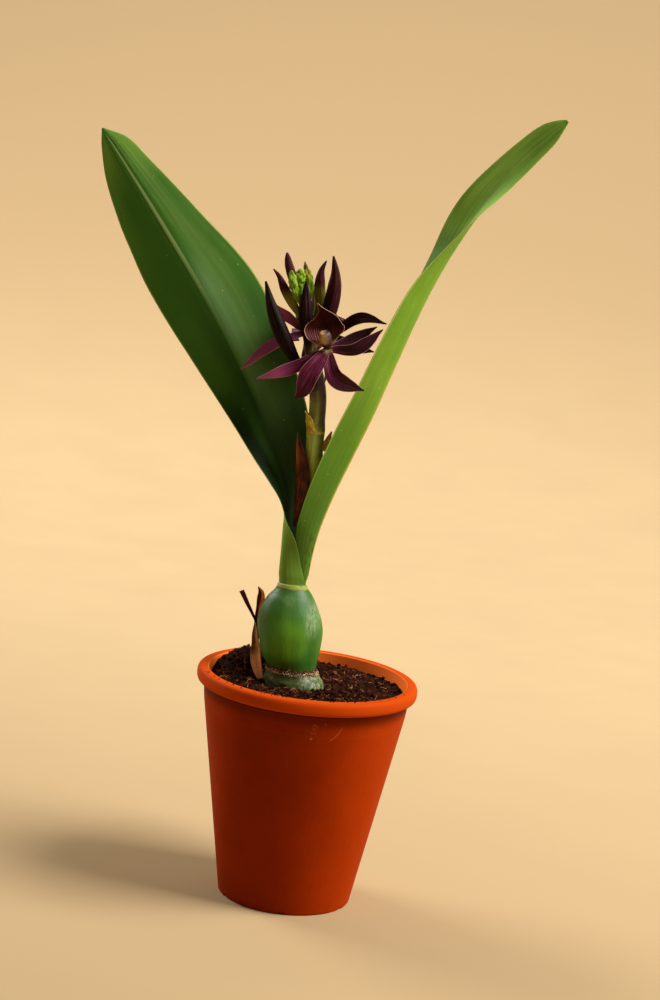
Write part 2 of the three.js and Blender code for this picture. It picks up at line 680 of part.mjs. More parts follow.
function mixSolid(buried) {
  const bottom = FLOOR + SEAT_GAP;
  const points = [new THREE.Vector3(0, 0, bottom), new THREE.Vector3(0, 0, mixHeight(0, 0))];
  const shares = Array.from({ length: MIX_RINGS }, (unused, ring) => (ring + 1) / MIX_RINGS);
  const ringPoint = (k, side) => {
    const angle = (2 * Math.PI * side) / POT_SIDES;
    const [cos, sin] = [Math.cos(angle), Math.sin(angle)];
    if (k < 0) {
      const radius = innerRadiusAt(bottom) - SEAT_GAP;
      return new THREE.Vector3(radius * cos, radius * sin, bottom);
    }
    const wall = RIM_INNER_RADIUS - SEAT_GAP;
    const height = mixHeight(wall * shares[k] * cos, wall * shares[k] * sin);
    const radius = (innerRadiusAt(Math.min(height, POT_HEIGHT - POT_EDGE)) - SEAT_GAP) * shares[k];
    return new THREE.Vector3(radius * cos, radius * sin, height);
  };
  for (let k = -1; k < MIX_RINGS; k += 1) {
    for (let side = 0; side < POT_SIDES; side += 1) points.push(ringPoint(k, side));
  }
  const at = (k, side) => 2 + (k + 1) * POT_SIDES + (side % POT_SIDES);
  const faces = [];
  for (let side = 0; side < POT_SIDES; side += 1) {
    faces.push([0, at(-1, side + 1), at(-1, side)]);
    faces.push([1, at(0, side), at(0, side + 1)]);
    faces.push([at(-1, side), at(-1, side + 1), at(MIX_RINGS - 1, side + 1)]);
    faces.push([at(-1, side), at(MIX_RINGS - 1, side + 1), at(MIX_RINGS - 1, side)]);
    for (let k = 0; k + 1 < MIX_RINGS; k += 1) {
      faces.push([at(k, side), at(k + 1, side), at(k + 1, side + 1)]);
      faces.push([at(k, side), at(k + 1, side + 1), at(k, side + 1)]);
    }
  }
  return largestPiece(solid(closedGeometry(points, faces)).subtract(buried));
}

// Pseudobulb with its foot, creeping stem and roots
function bulbPairs(key) {
  return BULB_OUTLINE.map((place, i) => [i / (BULB_OUTLINE.length - 1), place[key]]);
}

function bulbBody(grow) {
  const rings = [];
  for (let k = 0; k < BULB_STATIONS; k += 1) {
    const t = k / (BULB_STATIONS - 1);
    const [x, z, half] = ['x', 'z', 'half'].map((key) => smoothValue(bulbPairs(key), t));
    const ring = [];
    for (let j = 0; j < BULB_SIDES; j += 1) {
      const angle = (2 * Math.PI * j) / BULB_SIDES;
      const depth = (half * BULB_DEPTH_SHARE + grow) * Math.sin(angle);
      ring.push(new THREE.Vector3(x + (half + grow) * Math.cos(angle), depth, z));
    }
    rings.push(ring);
  }
  rings[0].forEach((point) => point.setZ(point.z - grow));
  rings[BULB_STATIONS - 1].forEach((point) => point.setZ(point.z + grow));
  return solid(loft(rings));
}

function bulbSolid(grow = 0) {
  const creeper = tube({ ...CREEPER, sides: CREEPER_SIDES, stations: CREEPER_STATIONS, grow });
  const roots = ROOTS.map((points) => tube({
    points,
    radius: [[0, ROOT_RADIUS], [0.8, ROOT_RADIUS], [1, ROOT_RADIUS / 2]],
    sides: ROOT_SIDES,
    stations: ROOT_STATIONS,
    grow,
  }));
  return join([bulbBody(grow), solid(creeper), ...roots.map(solid)]);
}

function bulbHalfAt(z) {
  const above = BULB_OUTLINE.findIndex((place) => place.z > z);
  const [low, high] = [BULB_OUTLINE[above - 1], BULB_OUTLINE[above]];
  const share = (z - low.z) / (high.z - low.z);
  return { x: low.x + (high.x - low.x) * share, half: low.half + (high.half - low.half) * share };
}

function tornRing() {
  const rings = [];
  for (let k = 0; k < RING_SIDES; k += 1) {
    const angle = (2 * Math.PI * k) / RING_SIDES;
    const tooth = RING_TOOTH * (k % 2) * (1 + cellValue(k, 1)) / 2;
    const corner = (z, out) => {
      const { x, half } = bulbHalfAt(z);
      const across = (half + SEAT_GAP + out) * Math.cos(angle);
      const depth = (half * BULB_DEPTH_SHARE + SEAT_GAP + out) * Math.sin(angle);
      return new THREE.Vector3(x + across, depth, z);
    };
    const top = RING_BOTTOM + RING_HEIGHT + tooth;
    rings.push([
      corner(RING_BOTTOM, RING_EASE), corner(RING_BOTTOM, RING_THICKNESS),
      corner(top, RING_THICKNESS), corner(top, RING_EASE),
    ]);
  }
  return loft(rings, true);
}

// Leaves
function leaf({ rib, halves }) {
  const shape = { edge: LEAF_EDGE, middle: LEAF_RIB, stations: LEAF_STATIONS, across: LEAF_ACROSS };
  return blade({ rib, halves, facing: VIEWER, ...shape });
}

// Flower stem
function stem(grow = 0) {
  return solid(tube({ ...STEM, sides: STEM_SIDES, stations: STEM_STATIONS, grow }));
}

// Strips
function strip({ rib, facing, half, shares, cup }, grow = 0) {
  return blade({
    rib,
    facing: new THREE.Vector3(...facing),
    halves: evenHalves(half, cup, shares),
    edge: TEPAL_EDGE,
    middle: TEPAL_EDGE,
    stations: STRIP_STATIONS,
    across: STRIP_ACROSS,
    grow,
  });
}

// Blooms
function bloomFrame({ ovary, facing, turn }) {
  const forward = new THREE.Vector3(...facing).normalize();
  const level = new THREE.Vector3().crossVectors(forward, UP).normalize();
  const angle = THREE.MathUtils.degToRad(turn);
  const right = level.clone().applyAxisAngle(forward, angle);
  const up = new THREE.Vector3().crossVectors(right, forward);
  return { centre: new THREE.Vector3(...ovary[ovary.length - 1]), right, up, forward };
}

function placeIn(frame, [right, up, forward]) {
  const point = frame.centre.clone().addScaledVector(frame.right, right);
  point.addScaledVector(frame.up, up).addScaledVector(frame.forward, forward);
  return point.toArray();
}

function tepal(bloom, { tip, bow, half, facing = bloom.facing }, grow) {
  const centre = bloom.ovary[bloom.ovary.length - 1];
  const middle = centre.map((value, axis) => value + tip[axis] / 2 + bow[axis]);
  const end = centre.map((value, axis) => value + tip[axis]);
  return solid(blade({
    rib: [centre, middle, end],
    facing: new THREE.Vector3(...facing),
    halves: evenHalves(TEPAL_SHAPE.map(([place, share]) => [place, share * half]), TEPAL_CUP),
    edge: TEPAL_EDGE,
    middle: TEPAL_RIB,
    stations: TEPAL_STATIONS,
    across: TEPAL_ACROSS,
    grow,
  }));
}

function tepalsAndOvary(bloom, grow) {
  const ovary = tube({
    points: bloom.ovary,
    radius: OVARY_RADIUS,
    sides: OVARY_SIDES,
    stations: OVARY_STATIONS,
    grow,
    facing: UP,
  });
  return join([solid(ovary), ...bloom.tepals.map((petal) => tepal(bloom, petal, grow))]);
}

function lip(bloom) {
  const frame = bloomFrame(bloom);
  return solid(blade({
    rib: LIP.rib.map((place) => placeIn(frame, place)),
    facing: frame.forward,
    halves: evenHalves(LIP.half, LIP.cup),
    edge: TEPAL_EDGE,
    middle: TEPAL_RIB,
    stations: LIP_STATIONS,
    across: LIP_ACROSS,
    bend: 1,
  }));
}

function column(bloom, grow) {
  const frame = bloomFrame(bloom);
  return solid(tube({
    points: COLUMN.points.map((place) => placeIn(frame, place)),
    radius: COLUMN.radius,
    sides: COLUMN_SIDES,
    stations: COLUMN_STATIONS,
    grow,
    facing: frame.forward,
  }));
}

function bud({ points, half, shape = BUD_SHAPE }, grow = 0) {
  const radius = shape.map(([place, share]) => [place, share * half]);
  return solid(tube({ points, radius, sides: BUD_SIDES, stations: BUD_STATIONS, grow }));
}

// Everything in its place
const stripNames = Object.keys(STRIPS);
const sheathNames = stripNames.filter((name) => name.startsWith('dead_sheath'));
const sheathSpaces = sheathNames.map((name) => solid(strip(STRIPS[name], HOLE_GAP)));
const buried = join([bulbSolid(HOLE_GAP), ...sheathSpaces]);
const stemSpace = stem(SEAT_GAP);

addPiece('pot', geometryOf(potSolid()), FINISH.pot);
addPiece('potting_mix', geometryOf(mixSolid(buried)), FINISH.mix);
addPiece('pseudobulb', geometryOf(bulbSolid()), FINISH.bulb);
addPiece('torn_sheath_ring', tornRing(), FINISH.dry);
addPiece('leaf_left', leaf(LEFT_LEAF), FINISH.leaf);
addPiece('leaf_right', leaf(RIGHT_LEAF), FINISH.leaf);
addPiece('flower_stem', geometryOf(stem()), FINISH.stem);
for (const name of stripNames) {
  addPiece(name, geometryOf(solid(strip(STRIPS[name])).subtract(stemSpace)), FINISH.dry);
}
for (const [name, bloom] of Object.entries(BLOOMS)) {
  const tepalsSpace = tepalsAndOvary(bloom, SEAT_GAP);
  const tepalsCut = tepalsAndOvary(bloom, 0).subtract(stemSpace);
  const lipCut = lip(bloom).subtract(tepalsSpace).subtract(column(bloom, SEAT_GAP));
  const columnCut = column(bloom, 0).subtract(tepalsSpace);
  addPiece(`${name}_tepals`, geometryOf(largestPiece(tepalsCut)), FINISH.tepal);
  addPiece(`${name}_lip`, geometryOf(largestPiece(lipCut)), FINISH.lip);
  addPiece(`${name}_column`, geometryOf(largestPiece(columnCut)), FINISH.column);
}
for (const [name, shape] of Object.entries(BUDS)) {
  const finish = name.includes('green') || name.includes('olive') ? FINISH.greenBud : FINISH.bud;
  addPiece(name, geometryOf(largestPiece(bud(shape).subtract(stemSpace))), finish);
}

export default plant;
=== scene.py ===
# A potted guarechea orchid, dressed for the render: fine meshes and procedural materials over the frame.
import math
import bmesh
import bpy
import numpy as np
from mathutils import Matrix, Vector


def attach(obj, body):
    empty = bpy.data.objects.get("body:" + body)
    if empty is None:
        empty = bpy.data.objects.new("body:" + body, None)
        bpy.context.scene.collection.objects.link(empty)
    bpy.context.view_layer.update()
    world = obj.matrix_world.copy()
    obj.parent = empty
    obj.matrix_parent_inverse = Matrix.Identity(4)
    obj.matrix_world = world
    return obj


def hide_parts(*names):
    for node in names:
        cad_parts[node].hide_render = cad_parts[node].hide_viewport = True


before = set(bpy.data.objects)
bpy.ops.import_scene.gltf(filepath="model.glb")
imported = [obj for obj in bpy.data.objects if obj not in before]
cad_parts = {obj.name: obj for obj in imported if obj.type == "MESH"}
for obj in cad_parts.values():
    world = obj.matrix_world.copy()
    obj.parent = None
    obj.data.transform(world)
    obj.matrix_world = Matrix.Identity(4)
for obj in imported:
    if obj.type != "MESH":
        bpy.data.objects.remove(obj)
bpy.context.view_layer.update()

# Lengths are in millimetres, as the plant is measured, and become metres in make_piece
MM = 0.001
VIEWER = (0, -1, 0)
UP = (0, 0, 1)

# Pot
POT_HEIGHT = 124.6
POT_SIDES = 192
RIM_RADIUS = 60
RIM_INNER_RADIUS = 54
RIM_HEIGHT = 7.8
NECK_RADIUS = 56.6
BASE_RADIUS = 36.4
WALL = 2.6
FLOOR = 3
DRAIN_COUNT = 6
DRAIN_RADIUS = 3.5
DRAIN_CIRCLE = 24
GROOVE_DEPTH = 1.2
GROOVE_WIDTH = 4
POT_EDGE = 1
RIM_CREASE = 0.7
RIM_SQUARENESS = 0.72
RIM_SEAM = POT_HEIGHT - RIM_HEIGHT

# Marks of use on the pot's front, by (across, up): pale rubbed spots and one curved scratch
SCUFFS = [
    {"middle": (5.4, 103.8), "reach": 1.2, "strength": 0.45},
    {"middle": (6, 107.4), "reach": 2.6, "strength": 0.2},
    {"middle": (6.6, 110.6), "reach": 2.6, "strength": 0.2},
    {"middle": (12.3, 112.4), "reach": 1, "strength": 0.3},
]
SCRATCH = {"centre": (3.6, 118), "radius": 18.8, "middle": (18.2, 106.6), "reach": 6}

# Potting mix
MIX_LEVEL = 118.4
MIX_RINGS = 84
MIX_SIDES = 240
HEAP = {"x": -33.5, "y": 20, "height": 11.8, "spread": 11}
CLOD_HEIGHT = 1.1
CLOD_SIZE = 7
CRUMB_HEIGHT = 0.8
CRUMB_SIZE = 2.6
MIX_TINT_SIZE = 1.7
MIX_SEED = 11
NOISE = {"seed": 74.7, "across": 127.1, "along": 311.7, "spread": 43758.5453}
SEAT_GAP = 0.3

# Loose mix on top of it. Each tint, from dark to pale, comes with its odds
LUMPS = {
    "count": 1000, "reach": 52.4, "size": (0.35, 1.25),
    "tints": {0.12: 0.3, 0.25: 0.3, 0.38: 0.22, 0.55: 0.13, 0.72: 0.05},
}
RIM_CRUMBS = {
    "count": 34, "reach": (54.6, 58), "size": (0.18, 0.42), "left": (198, 262), "right": (280, 350),
}
MIX_FIBRES = {
    "count": 760, "reach": 51, "limit": 52.5, "length": (2.5, 8), "width": (0.09, 0.22),
    "tints": {0.3: 0.3, 0.6: 0.3, 0.8: 0.25, 0.95: 0.15},
}

# Pseudobulb: each row gives the height, the middle of the axis, and the half width across
BULB_DEPTH_SHARE = 0.86
BULB_SIDES = 96
BULB_STATIONS = 150
BULB_OUTLINE = [
    (106, -8, 7), (110, -8, 13), (118, -7.3, 16.6), (124, -8.6, 14.6), (127.5, -9.5, 13.3),
    (134, -11.1, 15.5), (141, -11.7, 16.8), (149, -12.6, 17.8), (157, -13.55, 16.65),
    (164.5, -13.75, 13.25), (168, -13.4, 10.8), (170, -13.5, 9.3), (171, -13.7, 8.6),
    (172, -13.8, 8.25), (173, -13.8, 7.8), (173.6, -13.8, 7.2),
]
BULB_FOOT = {"x": -7.3, "half": 16.6, "depth": 14.5}

# The lighter patch on the bulb's front, partly painted light, and its painted sheen, by (across, up)
BULB_PATCH = {"middle": (-15.5, 144), "reach": 22}
BULB_PAINTED_SHEEN = [
    {"middle": (-0.8, 157), "reach": (6, 14), "strength": 0.42},
    {"middle": (-14.5, 166), "reach": (4.5, 4.5), "strength": 0.2},
]

# Creeping stem and roots, in the mix
CREEPER = {"points": [(-6, 0, 111), (-18, 2, 109), (-34, 6, 107)], "radius": [(0, 5.5), (1, 3.9)]}
ROOT_RADIUS = [(0, 1.6), (0.8, 1.6), (1, 0.8)]
ROOTS = [
    [(-4, -4, 110), (6, -14, 96), (14, -22, 72), (12, -26, 44)],
    [(-3, 4, 110), (10, 14, 98), (20, 24, 76), (18, 27, 50)],
    [(-10, -5, 108), (-14, -18, 90), (-8, -27, 64), (2, -26, 36)],
    [(-14, 6, 108), (-16, 18, 88), (-6, 28, 62), (-2, 26, 34)],
    [(-24, 2, 107), (-30, -8, 90), (-30, -14, 66), (-22, -18, 40)],
]

# Torn ring of old sheath round the bulb's foot
RING_BOTTOM = 125
RING_HEIGHT = 3.2
RING_TOOTH = 2.4
RING_DROP = 1.3
RING_SEED = 23
RING_STEPS = 360
THREAD_STEPS = 132
RING_FIBRES = {"count": 150, "width": (0.1, 0.2), "tints": {0.1: 0.4, 0.4: 0.25, 0.8: 0.2, 1.0: 0.15}}
RING_THREADS = [
    {"level": 1.1, "swing": 0.95, "width": 0.15, "tint": 0.95},
    {"level": 1.9, "swing": 0.9, "width": 0.1, "tint": 0.6},
]

# Blades
LEAF_EDGE = 0.7
LEAF_RIB = 1.5
LEAF_STATIONS = 200
LEAF_ACROSS = 26
TEPAL_EDGE = 0.65
TEPAL_RIB = 1.1
TEPAL_STATIONS = 56
TEPAL_ACROSS = 14
STRIP_THICKNESS = 0.5
TIP_THINNING = {"start": 0.8, "least": 0.2}

# Left leaf: each half turns from its root angle at the rib to its edge angle. Angles go from the
# viewer's side (0) to the side of the flower stem (90)
LEFT_LEAF = {
    "rib": [
        (-21.2, 0, 174), (-21.2, 0.1, 178), (-21.5, 2.5, 199), (-23, 7, 224), (-39, 14, 257.5),
        (-56.5, 20, 286.5), (-77, 24, 318), (-103, 26, 353), (-128.5, 25, 386), (-141.5, 23, 402.5),
    ],
    "halves": [
        {
            "width": [
                (0, 17), (0.03, 14), (0.06, 12), (0.09, 10.5), (0.13, 9.3), (0.18, 11.4), (0.25, 14.1),
                (0.33, 16.1), (0.41, 18.8), (0.52, 23.6), (0.58, 26), (0.64, 27.2), (0.7, 27), (0.76, 24.7),
                (0.82, 21.6), (0.91, 14.1), (0.97, 6), (1, 0.5),
            ],
            "root": [
                (0, 2), (0.06, -10), (0.1, -15), (0.14, -20), (0.2, -38), (0.32, -64), (0.42, -84),
                (0.55, -96), (0.75, -102), (1, -98),
            ],
            "edge": [
                (0, 92), (0.03, 88), (0.06, 76), (0.09, 52), (0.13, 4), (0.2, -36), (0.32, -68),
                (0.42, -90), (0.55, -106), (0.75, -112), (1, -102),
            ],
        },
        {
            "width": [
                (0, 17), (0.03, 14), (0.08, 11), (0.15, 13), (0.22, 18), (0.32, 24), (0.45, 28),
                (0.54, 30), (0.6, 29.8), (0.66, 27.2), (0.74, 22.2), (0.8, 18.7), (0.9, 12.6),
                (0.96, 8.6), (1, 0.5),
            ],
            "root": [
                (0, 172), (0.05, 165), (0.1, 155), (0.15, 138), (0.22, 115), (0.3, 102), (0.4, 97),
                (0.55, 99), (0.75, 101), (1, 98),
            ],
            "edge": [
                (0, 90), (0.05, 92), (0.1, 98), (0.15, 103), (0.25, 100), (0.4, 98), (0.55, 106),
                (0.75, 108), (1, 102),
            ],
        },
    ],
    "skin": {
        "broad": True, "inside": ((50, 92, 26), (62, 102, 34)), "outside": ((98, 138, 42), (116, 154, 50)),
        "low_reach": (0.46, 0.26), "low_inside": (42, 60, 34), "low_outside": (108, 146, 58), "margin": 0.965,
    },
}

# Right leaf: the same angles, turned the other way
RIGHT_LEAF = {
    "rib": [
        (-7, 0, 174), (-5.2, 0, 192), (-2.6, 0, 206), (3.4, 0, 226), (17.8, 1.5, 266), (28, 2, 298),
        (40.4, 4, 335), (53.6, 5, 365.5), (67.4, 4, 392), (84, 2, 415), (101.5, 0, 433.4),
    ],
    "halves": [
        {
            "width": [
                (0, 9), (0.05, 10.5), (0.08, 12), (0.12, 14.5), (0.2, 16.8), (0.3, 18), (0.42, 18.5),
                (0.52, 20.4), (0.59, 20), (0.66, 17.2), (0.77, 13), (0.85, 9), (0.91, 7.4),
                (0.96, 5.6), (1, 1),
            ],
            "root": [
                (0, -8), (0.08, -12), (0.12, -28), (0.3, -35), (0.5, -22), (0.64, -10), (0.77, 15),
                (0.85, 50), (0.92, 70), (1, 75),
            ],
            "edge": [
                (0, -95), (0.08, -88), (0.12, -72), (0.3, -66), (0.5, -46), (0.64, -34), (0.77, -2),
                (0.85, 34), (0.92, 52), (1, 58),
            ],
        },
        {
            "width": [
                (0, 9), (0.05, 10.5), (0.12, 13), (0.2, 15), (0.3, 16.5), (0.42, 17.3), (0.52, 17.6),
                (0.64, 16.5), (0.77, 13), (0.85, 10), (0.91, 8.2), (0.96, 6.8), (0.985, 4), (1, 1),
            ],
            "root": [
                (0, -172), (0.08, -166), (0.12, -155), (0.2, -148), (0.3, -145), (0.5, -150),
                (0.64, -150), (0.77, -122), (0.85, -110), (1, -100),
            ],
            "edge": [
                (0, -88), (0.08, -92), (0.12, -98), (0.2, -112), (0.3, -130), (0.42, -148),
                (0.55, -154), (0.66, -146), (0.77, -112), (0.85, -104), (1, -96),
            ],
        },
    ],
    "skin": {
        "broad": False, "inside": ((132, 180, 72), (152, 198, 88)),
        "outside": ((98, 136, 36), (116, 152, 44)), "low_reach": (0.45, 0.08),
        "low_inside": (62, 92, 28), "low_outside": (64, 98, 30), "margin": 0.955,
    },
}

# Flower stem, with its swollen joint
STEM = {
    "points": [
        (-14, 0, 174), (-12.2, 0, 190), (-11, 0, 208.6), (-9.4, 0, 230), (-10.3, 0, 247),
        (-10.7, 0, 257), (-11.3, 0, 273.9), (-13.4, 0, 285), (-16.4, 0, 295), (-19.5, 0, 305),
        (-22.5, 0, 315.4), (-26.5, 0, 329),
    ],
    "radius": [
        (0, 1.8), (0.1, 2.1), (0.24, 3.4), (0.36, 4.5), (0.5, 4.7), (0.535, 5), (0.57, 4.5),
        (0.66, 4.5), (0.74, 3.9), (0.84, 3), (0.93, 2.3), (1, 1.2),
    ],
}

# Strips: thin curled blades, each wrapped by its cup angle (90 is flat, less is cupped forward). The
# look gives dark, middle and light shades, and a glow that fades in across and along the strip
STRIPS = {
    "spathe": {
        "rib": [
            (-16.8, -0.6, 204.5), (-17.2, -1, 211), (-18, -1.2, 226), (-19, -1.6, 240), (-19.8, -2.4, 249),
            (-19.9, -3.4, 255.6),
        ],
        "facing": (1, 0, 0),
        "half": [(0, 1.2), (0.13, 3.6), (0.3, 7), (0.52, 9), (0.7, 8), (0.85, 4.6), (0.94, 2.2), (1, 0.5)],
        "shares": (1, 0.5),
        "cup": 25,
        "look": {
            "shades": ((30, 12, 8), (70, 32, 18), (132, 70, 34)),
            "glow": (164, 84, 38), "across": (-0.5, -0.1), "along": (0.55, 0.75),
        },
    },
    "node_bract_yellow": {
        "rib": [(-12.6, -5.9, 256), (-13.8, -5.9, 261), (-15.4, -5.4, 265), (-17, -4.8, 268)],
        "facing": (0, -1, 0),
        "half": [(0, 2.6), (0.5, 2.2), (1, 0.4)],
        "cup": 112,
        "look": {
            "shades": ((116, 66, 20), (176, 146, 40), (206, 186, 60)),
            "glow": (190, 176, 60), "across": (0.4, -0.6), "along": (0.3, 0.5),
        },
    },
    "node_bract_brown": {
        "rib": [(-5, -1, 247), (-3.9, -1, 252.5), (-2.1, -1, 258)],
        "facing": (0.35, -1, 0),
        "half": [(0, 1.7), (0.5, 1.8), (1, 0.35)],
        "cup": 72,
        "look": {
            "shades": ((176, 122, 62), (220, 168, 96), (240, 200, 124)),
            "glow": (226, 176, 100), "across": (0, 0.6), "along": (0.3, 0.7),
        },
    },
    "dead_sheath_strip": {
        "rib": [
            (-28.4, 4.4, 117), (-30.4, 4, 130), (-30.8, 3.6, 143), (-31.3, 3.2, 149.4), (-33.4, 3, 153.3),
            (-37.1, 3, 159.3), (-40.8, 3, 165.8),
        ],
        "facing": (0, -1, 0),
        "half": [(0, 1.6), (0.4, 1.3), (0.58, 0.8), (0.75, 0.9), (0.9, 1.2), (1, 1.5)],
        "cup": 70,
        "look": {
            "shades": ((26, 9, 5), (56, 22, 11), (96, 46, 22)),
            "glow": (104, 44, 18), "across": (0.2, 0.8), "along": (0.5, 0.8),
        },
    },
    "dead_sheath_orange": {
        "rib": [
            (-27.5, 7.4, 117), (-29.6, 7.2, 132), (-31, 6.2, 145), (-31.5, 4.9, 151.5), (-30.8, 3.8, 157.4),
            (-30, 3, 162.5), (-30.4, 2.6, 166.4), (-32.1, 2.4, 169),
        ],
        "facing": (0, -1, 0),
        "half": [(0, 2), (0.35, 1.8), (0.6, 0.9), (0.75, 1.2), (0.86, 2.2), (0.93, 1.7), (1, 0.3)],
        "cup": 72,
        "look": {
            "shades": ((34, 12, 6), (96, 38, 12), (170, 76, 24)),
            "glow": (255, 168, 62), "across": (-0.1, 0.4), "along": (0.68, 0.8),
        },
    },
    "dead_sheath_base": {
        "rib": [
            (-23.8, -3.8, 114.5), (-26.6, -2.6, 123), (-28.6, -1, 128.5), (-29.3, 0.2, 133),
            (-30.1, 0.7, 138), (-30.9, 0.6, 142), (-31.3, 0.2, 146), (-31.6, 0, 149.6),
        ],
        "facing": (-0.2, -1, 0),
        "half": [
            (0, 0.4), (0.12, 1.2), (0.25, 2.6), (0.4, 3.1), (0.58, 2.9), (0.72, 2.1), (0.86, 1.4), (1, 0.4),
        ],
        "cup": 68,
        "look": {
            "shades": ((198, 134, 90), (255, 214, 156), (255, 246, 212)),
            "glow": (66, 36, 40), "across": (1, -0.6), "along": (0.42, 0.6),
        },
    },
}

# Blooms: an ovary from the stem to the centre, tepals by their tip from the centre and by how far
# their middle bows out of the straight line, and a turn about the way that the bloom faces
BLOOMS = {
    "bloom_front": {
        "ovary": [(-15.5, 0, 296), (-12, -5, 299), (-9, -12.5, 302.5)],
        "facing": (0, -1, 0),
        "turn": 17,
        "tepals": [
            {"tip": (-35.2, -2.5, -19.2), "bow": (0.6, -1.9, -1.6), "half": 3.4},
            {
                "tip": (-14.2, -3.5, -26.9), "bow": (-0.4, -3.4, 1), "half": 5.3,
                "shapes": (
                    [(0, 0.4), (0.3, 0.8), (0.58, 1.02), (0.78, 1.05), (0.91, 0.74), (1, 0.1)],
                    [(0, 0.4), (0.3, 0.84), (0.58, 1), (0.78, 0.6), (0.9, 0.2), (1, 0.06)],
                ),
            },
            {"tip": (21.4, -2.5, -19.2), "bow": (-4.9, -3.9, -4.3), "half": 4.7},
            {"tip": (27.6, 1.5, 13.5), "bow": (1.2, -2.2, -4.5), "half": 3.5},
            {"tip": (24.4, 7.5, 14), "bow": (1.5, 1.7, 0), "half": 3.3},
        ],
    },
    "bloom_left": {
        "ovary": [(-18.5, 0, 303), (-18.6, 8, 304.5), (-21.4, 16, 307.5)],
        "facing": (-0.96, 0.25, 0.1),
        "turn": 0,
        "tepals": [
            {"tip": (-32.6, -11.5, -22.6), "bow": (-0.4, -2, 3.6), "half": 3.3, "facing": (-0.4, -0.9, 0.3)},
            {"tip": (-22.6, -13, 15.5), "bow": (-0.9, -1.4, 1), "half": 3.3, "facing": (-0.4, -0.9, -0.2)},
            {"tip": (4, 6, -27), "bow": (-1, 1, 0), "half": 4.4},
            {"tip": (-4, 21, -7), "bow": (-6, 0, 0), "half": 3.6},
            {"tip": (-3, 18, 14), "bow": (-5, 0, 0), "half": 3.3},
        ],
    },
    "bloom_right": {
        "ovary": [(-17, 0, 299), (-14, 6, 302), (-8, 13.5, 307.5)],
        "facing": (0.96, 0.25, 0.1),
        "turn": 0,
        "tepals": [
            {"tip": (28.5, -11.5, 10.4), "bow": (-0.4, -1.7, 6.2), "half": 3.2, "facing": (0.3, -0.9, 0.4)},
            {"tip": (23.3, -19.5, -4.3), "bow": (1, -2.3, -1.3), "half": 3.2},
            {"tip": (-1, 10, -27), "bow": (0, 2, 0), "half": 4.4},
            {"tip": (0, 21, -8), "bow": (3, 0, 0), "half": 3.8},
            {"tip": (-3, 18, 12), "bow": (3, 0, 0), "half": 3.3},
        ],
    },
}
TEPAL_SHAPE = [(0, 0.4), (0.3, 0.82), (0.58, 1), (0.78, 0.68), (0.92, 0.26), (1, 0.08)]
TEPAL_CUP = 76
OVARY_RADIUS = [(0, 1.7), (0.7, 1.5), (1, 2.1)]

# Lip and column in the bloom's own directions: right, up and forward of its centre
LIP = {
    "rib": [
        (0, 1.4, 0.2), (0.1, 5.8, -2.9), (-0.3, 11.4, -4.6), (-0.9, 17, -3.4), (-0.6, 20.6, -0.8),
        (0.2, 23, 0.9), (0.9, 24.8, 1.8),
    ],
    "half": [
        (0, 3.8), (0.12, 8.2), (0.21, 10.5), (0.36, 11.6), (0.5, 10.6), (0.6, 8.9), (0.69, 6.9), (0.78, 3.6),
        (0.84, 1.9), (0.91, 1), (1, 0.35),
    ],
    "cup": 60,
}
COLUMN = {
    "points": [(0, 1, 1.4), (0, 4.6, 3.2), (0, 9.6, 5.2)],
    "radius": [(0, 1.9), (0.4, 2.7), (0.8, 3.4), (1, 2.4)],
}

# Buds, each from inside the stem to its tip. Green is the share of the length that is green, which is
# over 1 for the wholly green ones, and light is how bright the purple is
BUD_SHAPE = [
    (0, 0.42), (0.2, 0.5), (0.38, 0.88), (0.52, 1), (0.7, 0.87), (0.84, 0.54), (0.93, 0.32), (1, 0.12),
]
BLUNT_BUD_SHAPE = [
    (0, 0.45), (0.2, 0.55), (0.42, 0.86), (0.62, 1), (0.8, 0.94), (0.91, 0.68), (0.97, 0.4), (1, 0.16),
]
BUDS = {
    "bud_top_left": {
        "half": 2.5,
        "green": 0.3,
        "shape": BLUNT_BUD_SHAPE,
        "points": [(-22, 0, 316), (-28, 4, 329), (-32.6, 5.8, 338), (-34.9, 6.2, 344), (-36.2, 6, 349.2)],
    },
    "bud_hooked_left": {
        "half": 2.6,
        "green": 0.56,
        "points": [(-21, 0, 311), (-28.6, 0, 321), (-35, 0, 330), (-38.8, 0, 336.6), (-42.2, 0, 340.2)],
    },
    "bud_green_left": {
        "half": 2.2,
        "green": 1.6,
        "shape": BLUNT_BUD_SHAPE,
        "points": [(-24, 0, 321), (-28.4, -3.6, 328), (-31.2, -4.2, 335), (-32.6, -4, 340.8)],
    },
    "bud_green_middle": {
        "half": 2.6,
        "green": 1.6,
        "shape": BLUNT_BUD_SHAPE,
        "points": [(-26.4, 0, 327), (-27, 0, 333.5), (-28.2, -0.6, 342)],
    },
    "bud_olive": {
        "half": 2.6,
        "green": 0.92,
        "points": [(-23.5, 0, 319), (-22.2, 1.4, 330), (-23.4, 2.4, 337), (-26.3, 3, 345.6)],
    },
    "bud_front": {
        "half": 3.9,
        "light": 0.75,
        "points": [
            (-17, 0, 295), (-19.8, -4.2, 306), (-22.6, -6, 318), (-23.7, -5.6, 329), (-24.3, -5, 336.2),
        ],
    },
    "bud_hooked_right": {
        "half": 3.1,
        "green": 0.56,
        "points": [(-21, 0, 311), (-16.2, 2.6, 323), (-17.2, 3.4, 335), (-17, 3, 342), (-15, 2, 347.4)],
    },
    "bud_top_right": {
        "half": 4.2,
        "light": 1.1,
        "points": [(-17.5, 0, 300), (-12.4, -2, 313), (-9.6, -3.4, 328), (-9.4, -4, 341), (-11.5, -4, 350.7)],
    },
    "bud_large_left": {
        "half": 4.1,
        "light": 0.5,
        "points": [(-14, 0, 287), (-24, -6.4, 293.4), (-33, -9, 306), (-40.6, -9, 321), (-45.3, -8, 334)],
    },
}
